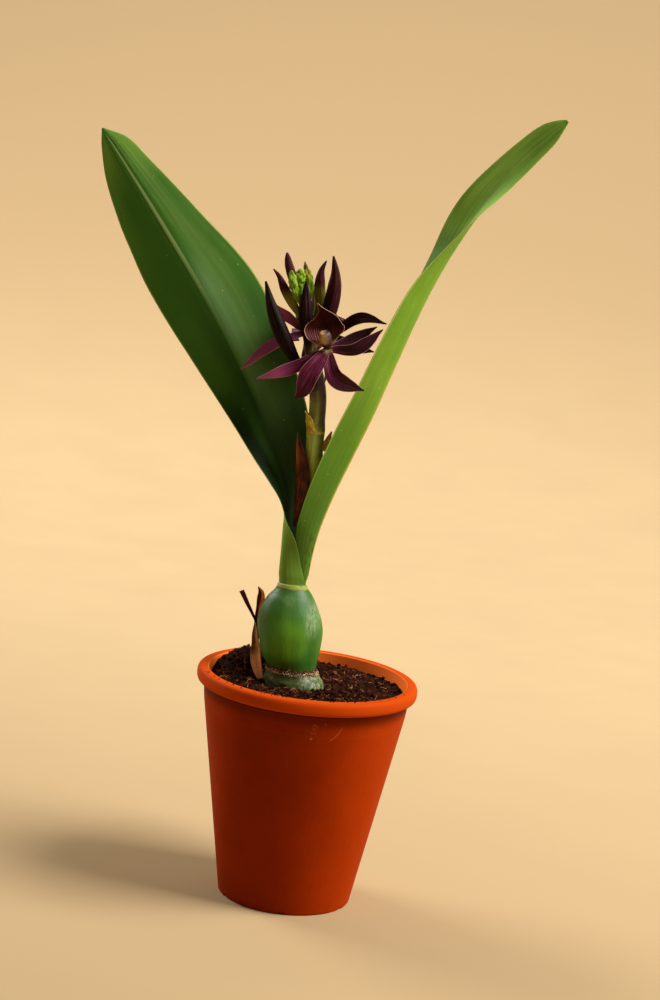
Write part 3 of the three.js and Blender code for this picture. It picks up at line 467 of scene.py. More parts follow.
PURPLE_BUD_GREEN = 0.12
MOSTLY_GREEN = 0.8
GREEN_BUD_LUMPS = 0.2
BUD_LIGHT = 1.3
BUD_PURPLES = ((27, 8, 10), (53, 20, 23), (97, 53, 52))

# Studio
CAMERA = {"distance": 1199, "elevation": 9.75, "roll": 6.5, "target": (1.1, 0, 221)}
FOCAL_SHARE = 2240 / 1000
SENSOR = 36
STAGE_FLAT = 800
STAGE_CURVE = 3000
STAGE_STEEPEST = 56
STAGE_SIDES = 96
# Middle of the painted pool of light on the studio paper
STAGE_PAINTED_LIGHT_MIDDLE = (60, 950)
AIR = {"colour": (255, 240, 220), "strength": 0.12}
LIGHT_COLOUR = (1, 0.98, 0.95)
LIGHTS = [
    {
        "name": "right_softbox", "place": (1316, -279, 1564), "size": (1, 1), "power": 75,
        "aim": CAMERA["target"],
    },
    {
        "name": "left_softbox", "place": (-1394, 872, 1171), "size": (0.9, 0.9), "power": 30,
        "aim": CAMERA["target"],
    },
    {
        "name": "backdrop_softbox", "place": (0, 1200, 2100), "size": (2.4, 0.8), "power": 62,
        "aim": (0, 3000, 700),
    },
]


# Curves
def smooth_values(pairs, places):
    """The values at the places on the smooth curve through (place, value) pairs."""
    known = np.array([place for place, value in pairs], float)
    values = np.array([value for place, value in pairs], float)
    last = len(pairs) - 1
    order = np.arange(last + 1)
    before = np.maximum(order - 1, 0)
    after = np.minimum(order + 1, last)
    wide = (slice(None),) + (None,) * (values.ndim - 1)
    slopes = (values[after] - values[before]) / (known[after] - known[before])[wide]
    places = np.atleast_1d(np.asarray(places, float))
    left = np.clip(np.searchsorted(known, places) - 1, 0, last - 1)
    span = (known[left + 1] - known[left])[wide]
    u = (places - known[left])[wide] / span
    start = (1 + 2 * u) * (1 - u) ** 2 * values[left] + u * (1 - u) ** 2 * span * slopes[left]
    end = u * u * (3 - 2 * u) * values[left + 1] + u * u * (u - 1) * span * slopes[left + 1]
    return start + end


def curve_through(points):
    """A function of 0 to 1 that runs along the smooth curve through the points."""
    places = np.array(points, float)
    lengths = np.concatenate([[0], np.cumsum(np.linalg.norm(np.diff(places, axis=0), axis=1))])
    pairs = list(zip(lengths / lengths[-1], places))
    return lambda t: smooth_values(pairs, t)


def unit(vectors):
    return vectors / np.linalg.norm(vectors, axis=-1, keepdims=True)


def frames_along(curve, t, facing):
    """Where a curve is at t, which way it runs, and the two directions across it."""
    step = 0.01
    along = unit(curve(np.minimum(t + step, 1)) - curve(np.maximum(t - step, 0)))
    facing = np.array(facing, float)
    front = unit(facing - along * (along @ facing)[:, None])
    return {"centre": curve(t), "along": along, "front": front, "side": np.cross(along, front)}


def directions_at(frames, degrees):
    angle = np.radians(degrees)[:, None]
    return frames["front"] * np.cos(angle) + frames["side"] * np.sin(angle)


# Seeded noise
def cell_value(i, j):
    wave = np.sin(i * NOISE["across"] + j * NOISE["along"] + NOISE["seed"]) * NOISE["spread"]
    return 2 * (wave - np.floor(wave)) - 1


def field(x, y):
    """Smooth noise from -1 to 1, with one value at each whole-number place."""
    x, y = np.broadcast_arrays(np.asarray(x, float), np.asarray(y, float))
    i, j = np.floor(x), np.floor(y)
    u, v = [share * share * (3 - 2 * share) for share in (x - i, y - j)]
    near = cell_value(i, j) * (1 - u) + cell_value(i + 1, j) * u
    far = cell_value(i, j + 1) * (1 - u) + cell_value(i + 1, j + 1) * u
    return near * (1 - v) + far * v


def layered_field(x, y, layers):
    return sum(field(x * 2 ** k + 17 * k, y * 2 ** k - 31 * k) / 2 ** k for k in range(layers))


# Meshes: a body is its points, its faces and a value of each named mark at each point
def closed(points, faces, marks=None):
    """A closed body, with its faces turned outwards."""
    corners = [(face[0], face[i], face[i + 1]) for face in faces for i in range(1, len(face) - 1)]
    a, b, c = points[np.array(corners)].transpose(1, 0, 2)
    if np.einsum("ij,ij->", a, np.cross(b, c)) < 0:
        faces = [face[::-1] for face in faces]
    return {"points": points, "faces": faces, "marks": marks or {}}


def tinted(body, tint):
    """The body with a tint, one for all points or one for each, in place of its other marks."""
    return {**body, "marks": {"tint": tint + np.zeros(len(body["points"]))}}


def turns(count):
    return np.linspace(0, 2 * math.pi, count, endpoint=False)


def grid_faces(rows, columns, close_rows=False, close_columns=False):
    faces = []
    for row in range(rows if close_rows else rows - 1):
        above = (row + 1) % rows
        for column in range(columns if close_columns else columns - 1):
            after = (column + 1) % columns
            faces.append((
                row * columns + column, row * columns + after,
                above * columns + after, above * columns + column,
            ))
    return faces


def joined(bodies):
    """Several bodies as one."""
    points, faces, marks = [], [], {}
    count = 0
    for body in bodies:
        points.append(body["points"])
        faces += [tuple(index + count for index in face) for face in body["faces"]]
        for name, values in body["marks"].items():
            marks.setdefault(name, []).append(values)
        count += len(body["points"])
    return {
        "points": np.concatenate(points),
        "faces": faces,
        "marks": {name: np.concatenate(values) for name, values in marks.items()},
    }


def capped(rings, ends, marks=None):
    """A closed body from rings of points, with one point that closes the first and one the last."""
    count, sides = rings.shape[:2]
    faces = grid_faces(count, sides, close_columns=True)
    first, last = count * sides, count * sides + 1
    for j in range(sides):
        after = (j + 1) % sides
        faces.append((first, after, j))
        faces.append((last, first - sides + j, first - sides + after))
    return closed(np.concatenate([rings.reshape(-1, 3), ends]), faces, marks)


def tube(points, radius, sides, stations, facing=VIEWER, relief=None):
    """A closed tube. Its marks are the share along it and the cosine and sine of the turn round it."""
    t = np.linspace(0, 1, stations)
    frames = frames_along(curve_through(points), t, facing)
    angle = turns(sides)
    size = np.repeat(smooth_values(radius, t)[:, None], sides, axis=1)
    if relief:
        size = size + relief(t[:, None], angle[None, :])
    across = frames["side"][:, None] * (np.cos(angle)[None, :] * size)[..., None]
    deep = frames["front"][:, None] * (np.sin(angle)[None, :] * size)[..., None]
    rings = frames["centre"][:, None] + across + deep
    marks = {
        "along": np.concatenate([np.repeat(t, sides), [0, 1]]),
        "across": np.concatenate([np.tile(np.cos(angle), stations), [0, 0]]),
        "layer": np.concatenate([np.tile(np.sin(angle), stations), [0, 0]]),
    }
    return capped(rings, frames["centre"][[0, -1]], marks)


def half_sheet(frames, half, t, across, bend):
    """One half of a blade: points from the rib out to the margin, turning most near the rib."""
    width = smooth_values(half["width"], t)
    root = smooth_values(half["root"], t)
    edge = smooth_values(half["edge"], t)
    chain = []
    point = frames["centre"].copy()
    for j in range(across):
        turned = 1 - (1 - (j + 0.5) / across) ** bend
        point = point + directions_at(frames, root + (edge - root) * turned) * (width / across)[:, None]
        chain.append(point)
    return np.stack(chain, axis=1)


def blade(rib, facing, halves, edge, middle, stations, across, margin, relief, bend=3):
    """A closed blade. Its marks are the shares along it and across it (-1 to 1), and which face it is."""
    t = np.linspace(0, 1, stations)
    frames = frames_along(curve_through(rib), t, facing)
    first, second = [half_sheet(frames, half, t, across, bend) for half in halves]
    sheet = np.concatenate([first[:, ::-1], frames["centre"][:, None], second], axis=1)
    columns = 2 * across + 1
    order = np.arange(columns)
    across_way = sheet[:, np.minimum(order + 1, columns - 1)] - sheet[:, np.maximum(order - 1, 0)]
    normal = unit(np.cross(across_way, frames["along"][:, None]))
    share = (order - across) / across
    taper = np.minimum(1, (1 - t) / (1 - TIP_THINNING["start"]) + TIP_THINNING["least"])[:, None]
    full = edge + (middle - edge) * (1 - np.abs(share))[None, :] ** 2 * taper
    rounding = np.sqrt(np.clip(1 - np.abs(share) ** 14, 0, 1))[None, :]
    end_rounding = np.clip(np.minimum(t, 1 - t) * stations / 3, 0.35, 1)[:, None]
    thickness = np.maximum(full * rounding, margin) * end_rounding
    raised = relief(t[:, None], share[None, :])
    front = sheet + normal * (raised + thickness / 2)[..., None]
    back = sheet + normal * (raised - thickness / 2)[..., None]
    points = np.concatenate([front.reshape(-1, 3), back.reshape(-1, 3)])
    count = stations * columns
    grid = grid_faces(stations, columns)
    faces = grid + [tuple(index + count for index in face[::-1]) for face in grid]
    for k in range(stations - 1):
        for j, flip in ((0, False), (columns - 1, True)):
            at = k * columns + j
            quad = (at, at + columns, count + at + columns, count + at)
            faces.append(quad[::-1] if flip else quad)
    for k, flip in ((0, True), (stations - 1, False)):
        for j in range(columns - 1):
            at = k * columns + j
            quad = (at, at + 1, count + at + 1, count + at)
            faces.append(quad[::-1] if flip else quad)
    marks = {
        "along": np.tile(np.repeat(t, columns), 2),
        "across": np.tile(np.tile(share, stations), 2),
        "layer": np.repeat([1.0, 0.0], count),
    }
    return closed(points, faces, marks)


def even_halves(half, cup, shares=(1, 1)):
    """Two halves of one width, folded towards each other by the cup angle."""
    halves = []
    for sign, share in zip((-1, 1), shares):
        root = sign * (cup + 90) / 2
        halves.append({
            "width": [(place, width * share) for place, width in half],
            "root": [(0, root), (1, root)],
            "edge": [(0, sign * cup), (1, sign * cup)],
        })
    return halves


def placed(name, data):
    thing = bpy.data.objects.new(name, data)
    bpy.context.scene.collection.objects.link(thing)
    return thing


def make_piece(name, body, material, node, sharp=55):
    """A Blender object from a body, riding on the plant and standing for a node of the frame."""
    mesh = bpy.data.meshes.new(name)
    mesh.from_pydata((body["points"] * MM).tolist(), [], [list(map(int, face)) for face in body["faces"]])
    for mark, values in body["marks"].items():
        layer = mesh.attributes.new(mark, "FLOAT", "POINT")
        layer.data.foreach_set("value", np.asarray(values, np.float32))
    mesh.shade_smooth()
    mesh.set_sharp_from_angle(angle=math.radians(sharp))
    mesh.materials.append(material)
    piece = placed(name, mesh)
    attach(piece, "root")
    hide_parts(node)
    return piece


# Materials: a colour is what a screen shows, red, green and blue from 0 to 255
def tone(red, green, blue):
    """The light that a screen colour stands for."""
    parts = [value / 255 for value in (red, green, blue)]
    linear = [part / 12.92 if part <= 0.04045 else ((part + 0.055) / 1.055) ** 2.4 for part in parts]
    return (*linear, 1)


class Finish:
    """A material, with a short call for each kind of node that it is made from."""

    def __init__(self, name, roughness, specular, inner_light=None):
        """Inner light is how much of it there is, how far each colour goes, and over what length."""
        self.material = bpy.data.materials.new(name)
        self.material.use_nodes = True
        self.nodes = self.material.node_tree.nodes
        self.links = self.material.node_tree.links
        self.inputs = self.nodes["Principled BSDF"].inputs
        self.inputs["Roughness"].default_value = roughness
        self.inputs["Specular IOR Level"].default_value = specular
        for key, value in zip(("Weight", "Radius", "Scale"), inner_light or ()):
            self.inputs["Subsurface " + key].default_value = value
        place = self.add("TexCoord").outputs["Object"]
        self.place = self.add("VectorMath", {0: place, "Scale": 1 / MM}, operation="SCALE").outputs[0]
        self.x, self.y, self.z = self.add("SeparateXYZ", {0: self.place}).outputs
        self.base = None

    def feed(self, socket, value):
        if isinstance(value, bpy.types.NodeSocket):
            self.links.new(value, socket)
        else:
            socket.default_value = value

    def add(self, kind, sockets=None, **settings):
        node = self.nodes.new("ShaderNode" + kind)
        for key, value in settings.items():
            setattr(node, key, value)
        for key, value in (sockets or {}).items():
            self.feed(node.inputs[key], value)
        return node

    def marks(self, *names):
        return [self.add("Attribute", attribute_name=name).outputs["Fac"] for name in names]

    def calculate(self, operation, *values):
        return self.add("Math", dict(enumerate(values)), operation=operation).outputs[0]

    def inverse(self, value):
        return self.calculate("SUBTRACT", 1.0, value)

    def plus(self, value, other, weight, centre=0.0):
        """A value, and this weight of another one that is counted from its centre."""
        return self.calculate("MULTIPLY_ADD", self.calculate("SUBTRACT", other, centre), weight, value)

    def fade(self, value, low, high):
        """0 where the value is at low, 1 where it is at high, smooth between."""
        sockets = {"Value": value, "From Min": low, "From Max": high}
        return self.add("MapRange", sockets, interpolation_type="SMOOTHSTEP").outputs["Result"]

    def share(self, *parts):
        """The product of the parts. A part (value, low, high) is a fade."""
        values = [self.fade(*part) if isinstance(part, tuple) else part for part in parts]
        product = values[0]
        for value in values[1:]:
            product = self.calculate("MULTIPLY", product, value)
        return product

    def distance(self, place, middle, reach=(1, 1)):
        """How far two sides of a place are from the middle, in steps of the reach on each side."""
        squares = []
        for side, at, size in zip(place, middle, reach):
            step = self.calculate("DIVIDE", self.calculate("SUBTRACT", side, at), size)
            squares.append(self.calculate("MULTIPLY", step, step))
        return self.calculate("SQRT", self.calculate("ADD", *squares))

    def noise(self, scale, detail=3, roughness=0.55, at=None):
        sockets = {"Vector": at or self.place, "Scale": scale, "Detail": detail, "Roughness": roughness}
        return self.add("TexNoise", sockets).outputs["Fac"]

    def grained(self, scale, upright, **looks):
        """Noise with upright cells: each is 1 / upright times as tall as it is wide."""
        sockets = {0: self.place, 1: (1, 1, upright)}
        at = self.add("VectorMath", sockets, operation="MULTIPLY").outputs[0]
        return self.noise(scale, at=at, **looks)

    def strands(self, *ways, shift=0.0, **looks):
        """Noise over the marks of a body. Each way is a mark and how often the noise changes along it."""
        sides = [self.calculate("MULTIPLY", mark, count) for mark, count in ways]
        at = self.add("CombineXYZ", {2: shift, **dict(enumerate(sides))}).outputs[0]
        return self.noise(1.0, at=at, **looks)

    def blend(self, share, first, second):
        colours = [tone(*colour) if isinstance(colour, tuple) else colour for colour in (first, second)]
        return self.add("Mix", {0: share, 6: colours[0], 7: colours[1]}, data_type="RGBA").outputs[2]

    def ramp(self, value, *stops):
        node = self.add("ValToRGB", {0: value})
        points = node.color_ramp.elements
        points[0].position, points[1].position = stops[0][0], stops[-1][0]
        for position, colour in stops[1:-1]:
            points.new(position)
        for point, (position, colour) in zip(points, stops):
            point.color = tone(*colour)
        return node.outputs["Color"]

    def tint(self, colour, *parts):
        """Lays a colour over the base by the share that the parts make."""
        self.base = self.blend(self.share(*parts), self.base, colour)

    def finished(self, *bumps):
        """The material with its base colour, and bumps of (height, depth in millimetres, strength)."""
        self.feed(self.inputs["Base Color"], self.base)
        for height, depth, strength in bumps:
            sockets = {"Height": height, "Distance": depth * MM, "Strength": strength}
            if self.inputs["Normal"].is_linked:
                sockets["Normal"] = self.inputs["Normal"].links[0].from_socket
            self.feed(self.inputs["Normal"], self.add("Bump", sockets).outputs["Normal"])
        return self.material


def pot_finish():
    """Terracotta plastic: a darker wall with painted light on its right side and a band of painted shade left
    of the middle, painted light on the rim and inside, painted shade in the crease under the rim, and rubbed
    spots.
    """
    finish = Finish("terracotta_plastic", roughness=0.6, specular=0.02)
    x, y, z = finish.x, finish.y, finish.z
    grain = finish.noise(2.2, detail=5)
    streak = finish.grained(0.5, 0.06)
    finish.base = finish.ramp(finish.noise(0.035, detail=4), (0.3, (134, 38, 1)), (0.7, (150, 45, 2)))
    # Painted light on the wall's right side, then a band of painted shade left of the middle
    finish.tint((172, 56, 2), (x, 8, 50), 0.6)
    finish.tint((110, 32, 1), (x, -46, -30), (x, 18, -2), 0.3)
    finish.tint((118, 34, 1), (streak, 0.5, 0.9), 0.4)
    # Painted light on the rim
    finish.tint((178, 62, 6), (z, RIM_SEAM - 0.3, RIM_SEAM + 0.4))
    # Painted light on the inside of the wall, below the rim
    inside = finish.fade(finish.distance((x, y), (0, 0)), RIM_INNER_RADIUS + 0.7, RIM_INNER_RADIUS + 0.2)
    finish.tint((250, 118, 44), inside, (z, RIM_SEAM - 12.8, RIM_SEAM - 6.8))
    # Painted shade under the rim bead, darkest in the crease just under it
    below_rim = (z, RIM_SEAM + 0.4, RIM_SEAM - 0.2)
    finish.tint((72, 20, 1), (z, RIM_SEAM - 8.8, RIM_SEAM - 2.8), below_rim, 0.6)
    finish.tint((44, 11, 1), (z, RIM_SEAM - 1.6, RIM_SEAM - 0.6), below_rim, 0.8)
    finish.tint((196, 96, 44), (finish.noise(0.9, detail=2), 0.66, 0.72), 0.1)
    front = finish.fade(y, -10, -20)
    smear = finish.noise(1.1, detail=4, roughness=0.7)
    for scuff in SCUFFS:
        away = finish.distance((x, z), scuff["middle"])
        finish.tint((226, 150, 106), (away, scuff["reach"], 0), (smear, 0.46, 0.6), front, scuff["strength"])
    off_circle = finish.calculate("SUBTRACT", finish.distance((x, z), SCRATCH["centre"]), SCRATCH["radius"])
    line = finish.fade(finish.calculate("ABSOLUTE", off_circle), 0.42, 0.1)
    away = finish.distance((x, z), SCRATCH["middle"])
    finish.tint((226, 140, 92), line, (away, SCRATCH["reach"], SCRATCH["reach"] * 0.6), front, 0.2)
    finish.feed(finish.inputs["Roughness"], finish.plus(0.5, grain, 0.14))
    return finish.finished((grain, 0.05, 1), (streak, 0.08, 0.5))


def mix_finish():
    """Potting mix: from damp dark crumbs to pale flecks by each lump's tint, with darker patches."""
    finish = Finish("bark_and_coir", roughness=0.9, specular=0.05)
    [tint] = finish.marks("tint")
    grain = finish.noise(1.6, detail=6, roughness=0.7)
    finish.base = finish.ramp(
        finish.plus(tint, grain, 0.7, centre=0.5),
        (0.1, (22, 6, 2)), (0.4, (52, 20, 8)), (0.62, (84, 38, 16)), (0.8, (126, 74, 36)),
        (1, (190, 138, 82)),
    )
    finish.tint((22, 7, 3), (finish.noise(0.25), 0.5, 0.72), 0.8)
    return finish.finished((grain, 0.5, 1))


def bulb_finish():
    """Bulb skin: a lighter patch, partly painted light, with painted light on the shaded low left, painted
    shade on the left edge, painted sheen, a pale band on top with a painted shade line below it, and a waxy
    foot with painted sheen on its right.
    """
    finish = Finish(
        "pseudobulb_skin", roughness=0.46, specular=0.26, inner_light=(0.08, (0.6, 1, 0.3), 0.002),
    )
    x, z = finish.x, finish.z
    fine = finish.grained(1.0, 0.08, detail=4)
    cloud = finish.noise(0.06, detail=1)
    away = finish.plus(finish.distance((x, z), BULB_PATCH["middle"]), cloud, 6)
    finish.base = finish.ramp(cloud, (0.35, (46, 94, 26)), (0.65, (60, 108, 26)))
    # The lighter patch: partly the bulb's own lighter green, partly painted light
    finish.tint((112, 178, 38), (away, BULB_PATCH["reach"], 3), 0.6)
    finish.tint((112, 178, 38), (away, 18, 12), 0.16)
    # Painted light on the shaded low left
    finish.tint((60, 152, 44), (x, -13, -18), (x, -27, -22), (z, 158, 146), 0.5)
    finish.tint((38, 112, 34), (x, -19, -25), (z, 158, 148), 0.6)
    # Painted shade on the left edge
    finish.tint((26, 56, 14), (x, -24, -28), (z, 170, 150), 0.6)
    finish.tint((48, 80, 30), (fine, 0.45, 0.75), 0.2)
    mottle = finish.fade(finish.grained(0.7, 0.4, detail=5, roughness=0.6), 0.25, 0.7)
    # Painted highlights on the bulb's skin
    for sheen in BULB_PAINTED_SHEEN:
        away = finish.distance((x, z), sheen["middle"], sheen["reach"])
        finish.tint((178, 196, 150), (away, 1, 0.3), mottle, sheen["strength"])
    finish.tint((66, 96, 46), (z, 150, 168), 0.35)
    finish.tint((120, 90, 50), (finish.noise(1.1, detail=2), 0.68, 0.75), 0.3)
    level = finish.plus(z, finish.noise(0.3), 1.5, centre=0.5)
    # Painted shade line just below the pale band
    finish.tint((52, 80, 26), (level, 169.8, 170.9), (level, 171.9, 171.2), 0.3)
    finish.tint((140, 148, 58), (level, 170.9, 171.9))
    finish.tint((116, 142, 50), (level, 172.3, 173.3), 0.6)
    # Whitish bloom on the foot's right side: partly waxy bloom, partly painted sheen
    wax = finish.share((finish.noise(0.45, detail=5, roughness=0.65), 0.4, 0.74), (x, -10, 2), 0.75)
    foot = finish.blend(wax, (56, 76, 32), (176, 180, 138))
    finish.tint(foot, (level, 126.2, 124.6))
    finish.tint((58, 60, 26), (level, 131.5, 128), (fine, 0.4, 0.6), 0.5)
    return finish.finished((fine, 0.12, 1), (wax, 0.12, 0.6))


def left_leaf_light(finish, along, across, face):
    """Painted light and shade on the left leaf's broad inner face: painted sheen on its right half and beside
    the rib, painted light on its left half and left margin, and painted shade in its dimmer places.
    """
    # Painted sheen on the right half
    painted_satin = finish.strands((across, 3.2), (along, 2.4), shift=7.0, detail=1)
    finish.tint((122, 142, 80), (painted_satin, 0.36, 0.6), (across, -0.05, 0.2), face, 0.204)
    # Painted light on the left half and along its left margin
    finish.tint((64, 116, 42), (across, 0, -0.2), (along, 0.4, 0.62), face, 0.7)
    finish.tint((92, 146, 60), (across, -0.5, -0.95), (along, 0.6, 0.85), face, 0.5)
    # Painted shade beside the rib, low on the right half and low on the left half
    finish.tint((18, 38, 14), (across, -0.6, -0.1), (across, 0, -0.04), (along, 0.72, 0.45), face, 0.5)
    finish.tint((52, 74, 38), (across, 0.3, 0.7), (along, 0.66, 0.5), face, 0.45)
    finish.tint((8, 16, 7), (across, -0.2, -0.65), (along, 0.46, 0.32), face, 0.85)
    # Painted sheen band beside the rib
    painted_rib_sheen = finish.share((across, 0.5, 0.12), (across, -0.02, 0.1), face)
    finish.tint((118, 152, 104), painted_rib_sheen, (along, 0.24, 0.42), (along, 0.75, 0.6), 0.374)


def right_leaf_marks(finish, along, across, face):
    """The right leaf's painted shade on its fold, its darker end, its lengthwise streaks, and rust near its
    foot.
    """
    distance = finish.calculate("ABSOLUTE", across)
    # Painted shade on the fold of the inner face
    finish.tint((60, 98, 26), (along, 0.48, 0.56), (along, 0.75, 0.68), face, 0.7)
    finish.tint((82, 118, 46), (finish.strands((across, 4), (along, 5), detail=4), 0.45, 0.65), 0.3)
    finish.tint((72, 108, 30), (along, 0.86, 0.94), (distance, 0.75, 0.4), face, 0.55)
    rust = finish.grained(0.5, 0.4, detail=4)
    finish.tint((66, 34, 16), (rust, 0.5, 0.58), (along, 0.11, 0.07), (distance, 0.55, 0.3), 0.7)


def leaf_finish(name, skin):
    """Leaf skin: two tones a face, parallel veins, a pale rib and margin, and a darker low part, partly
    painted shade.
    """
    finish = Finish(name, roughness=0.42, specular=0.04, inner_light=(0.06, (0.5, 1, 0.2), 0.001))
    along, across, layer = finish.marks("along", "across", "layer")
    distance = finish.calculate("ABSOLUTE", across)
    vein = finish.strands((across, 22), (along, 7), roughness=0.6)
    hair = finish.strands((across, 110), (along, 12), detail=2)
    cloud = finish.noise(0.03)
    face = layer if skin["broad"] else finish.inverse(layer)
    back = finish.inverse(face)
    outside, inside = [
        finish.ramp(cloud, (0.3, dark), (0.7, light)) for dark, light in (skin["outside"], skin["inside"])
    ]
    finish.base = finish.blend(face, outside, inside)
    finish.tint((150, 176, 84), (vein, 0.46, 0.74), 0.05)
    finish.tint((34, 58, 20), (hair, 0.5, 0.8), 0.09)
    if skin["broad"]:
        left_leaf_light(finish, along, across, face)
    # The low part: partly the leaf's own darker green near its foot, partly painted shade
    low = finish.share((along, *skin["low_reach"]), 0.8)
    finish.tint(skin["low_inside"], low, face, (across, -0.4, 0.05))
    finish.tint(skin["low_outside"], low, back)
    finish.tint((116, 156, 62), (along, 0.84, 0.96), (distance, 0.1, 0.6), 0.6)
    finish.tint((34, 58, 22), (distance, 0.1, 0.05), (distance, 0.03, 0.06), 0.15, face)
    finish.tint((150, 178, 112), (distance, 0.06, 0.015), (along, 0.5, 0.78), 0.7, face)
    finish.tint((178, 150, 56), (distance, 0.1, 0.04), (along, 0.7, 0.4), 0.6, back)
    finish.tint((190, 200, 104), (distance, skin["margin"], skin["margin"] + 0.02), (along, 0.04, 0.4), 0.55)
    if not skin["broad"]:
        right_leaf_marks(finish, along, across, face)
    finish.tint((190, 196, 170), (finish.noise(0.6, detail=1), 0.772, 0.79), 0.5)
    finish.feed(finish.inputs["Roughness"], finish.plus(0.36, vein, 0.16))
    return finish.finished((vein, 0.06, 1), (hair, 0.03, 1))


def stem_finish():
    """Flower stem: green low down, maroon high up and on its right side, with a scar at the joint. High up
    the near-black maroon is partly painted shade under the blooms.
    """
    finish = Finish("flower_stem_skin", roughness=0.42, specular=0.3)
    [across] = finish.marks("across")
    streak = finish.grained(1.3, 0.05, detail=4)
    level = finish.plus(finish.z, finish.noise(0.22), 16, centre=0.5)
    side = finish.plus(across, streak, 0.8, centre=0.5)
    maroon = finish.ramp(streak, (0.3, (34, 15, 14)), (0.7, (62, 32, 26)))
    finish.base = finish.ramp(streak, (0.3, (132, 156, 58)), (0.7, (184, 196, 82)))
    finish.tint((98, 90, 38), (level, 256, 266), 0.75)
    finish.tint((36, 20, 10), (side, -0.3, 0.5), (level, 236, 262), 0.9)
    # Near-black maroon high up: partly the stem's colour, partly painted shade under the blooms
    finish.tint(maroon, (level, 270, 282))
    finish.tint((158, 148, 60), (finish.z, 255.6, 256.4), (finish.z, 257.8, 257), 0.8)
    return finish.finished((streak, 0.12, 1))


def dry_finish(name, look):
    """Dead sheath: papery, streaked along its length, letting some light through."""
    finish = Finish(name, roughness=0.6, specular=0.15, inner_light=(0.1, (1, 0.5, 0.2), 0.002))
    along, across = finish.marks("along", "across")
    fibre = finish.strands((across, 9), (along, 4), detail=5, roughness=0.7)
    blotch = finish.noise(0.18, detail=4)
    value = finish.plus(finish.share(blotch, 0.4), fibre, 0.6)
    finish.base = finish.ramp(value, *zip((0.36, 0.5, 0.64), look["shades"]))
    finish.tint(look["shades"][0], (finish.calculate("ABSOLUTE", across), 0.72, 0.98), 0.5)
    finish.tint(look["glow"], (across, *look["across"]), (along, *look["along"]), 0.85)
    return finish.finished((fibre, 0.7, 1))


def fibre_finish():
    """Torn sheath: from dark brown to cream by each thread's tint."""
    finish = Finish("torn_sheath_fibre", roughness=0.7, specular=0.3)
    [tint] = finish.marks("tint")
    grain = finish.noise(1.8, detail=4)
    finish.base = finish.ramp(
        finish.plus(tint, grain, 0.5, centre=0.5),
        (0.1, (44, 17, 9)), (0.4, (96, 50, 24)), (0.7, (184, 132, 80)), (1, (240, 210, 160)),
    )
    return finish.finished((grain, 0.2, 1))


def petal_finish():
    """Tepals: magenta at the left, near-black at the right, veined, with a pale margin and foot, and painted
    light on the far-left tepals.
    """
    finish = Finish("tepal_skin", roughness=0.45, specular=0.12, inner_light=(0.05, (1, 0.2, 0.4), 0.001))
    along, across, layer = finish.marks("along", "across", "layer")
    vein = finish.strands((across, 7), (along, 2.2), (layer, 1), detail=4, roughness=0.65)
    cloud = finish.noise(0.16)
    bright = finish.ramp(vein, (0.34, (44, 7, 24)), (0.55, (92, 22, 54)), (0.72, (150, 70, 100)))
    dark = finish.ramp(vein, (0.34, (26, 7, 9)), (0.55, (42, 12, 16)), (0.72, (74, 30, 34)))
    back = finish.ramp(vein, (0.34, (34, 10, 16)), (0.7, (70, 28, 34)))
    to_right = finish.fade(finish.plus(finish.x, cloud, 14, centre=0.5), -8, 2)
    finish.base = finish.blend(layer, back, finish.blend(to_right, bright, dark))
    finish.tint((58, 16, 30), (cloud, 0.4, 0.7), 0.4)
    finish.tint((52, 18, 24), (along, 0.45, 0.95), 0.6)
    # Painted light on the far-left tepals
    finish.tint((186, 88, 142), (finish.x, -24, -36), layer, 0.6)
    finish.tint((190, 176, 116), (finish.plus(along, vein, 0.14), 0.18, 0.08), (finish.y, 4, -4), 0.6)
    finish.tint((196, 146, 140), (finish.calculate("ABSOLUTE", across), 0.94, 0.99), 0.6)
    return finish.finished((vein, 0.22, 1))


def lip_finish(name, light):
    """Lip: near-black maroon shell, pale rays spreading from its foot, and a thin cream margin."""
    finish = Finish(name, roughness=0.45, specular=0.08)
    along, across, layer = finish.marks("along", "across", "layer")
    spread = finish.plus(across, finish.noise(0.5, detail=2), 0.1, centre=0.5)
    wave, branch = [finish.calculate("SINE", finish.share(spread, count)) for count in (58, 116)]
    ray = finish.calculate("MAXIMUM", finish.fade(wave, 0.6, 1), finish.share((branch, 0.8, 1), 0.4))
    reach = finish.plus(along, finish.noise(0.35), 0.3)
    patch = finish.noise(0.2, detail=4)
    side_edge = finish.fade(finish.calculate("ABSOLUTE", across), 0.965, 0.99)
    margin = finish.calculate("MAXIMUM", side_edge, finish.fade(along, 0.97, 0.995))
    finish.base = finish.ramp(patch, (0.35, (34, 6, 5)), (0.65, (62, 12, 9)))
    finish.tint((188, 100, 90), ray, (reach, 0.6, 0.4), 0.5 * light)
    finish.tint((196, 150, 80), (along, 0.12, 0.02), 0.8 * light)
    finish.tint((206, 168, 130), margin, 0.85 * light)
    finish.tint((44, 14, 18), finish.inverse(layer))
    return finish.finished((wave, 0.05, 1), (patch, 0.3, 1))


def column_finish(name, light):
    """Column: ochre at the left, pinkish at the right, and dark maroon at its foot."""
    finish = Finish(name, roughness=0.5, specular=0.2, inner_light=(0.05, (1, 0.2, 0.1), 0.002))
    along, across = finish.marks("along", "across")
    mottle = finish.noise(0.6)
    finish.base = finish.ramp(
        finish.plus(0.5, across, 0.5),
        (0.05, (148, 86, 32)), (0.3, (184, 148, 94)), (0.56, (128, 104, 84)), (0.84, (72, 44, 42)),
    )
    finish.tint((44, 12, 16), (finish.plus(along, mottle, 0.3), 0.7, 0.44))
    finish.tint((48, 16, 22), 1.0 - light)
    return finish.finished((mottle, 0.2, 1))


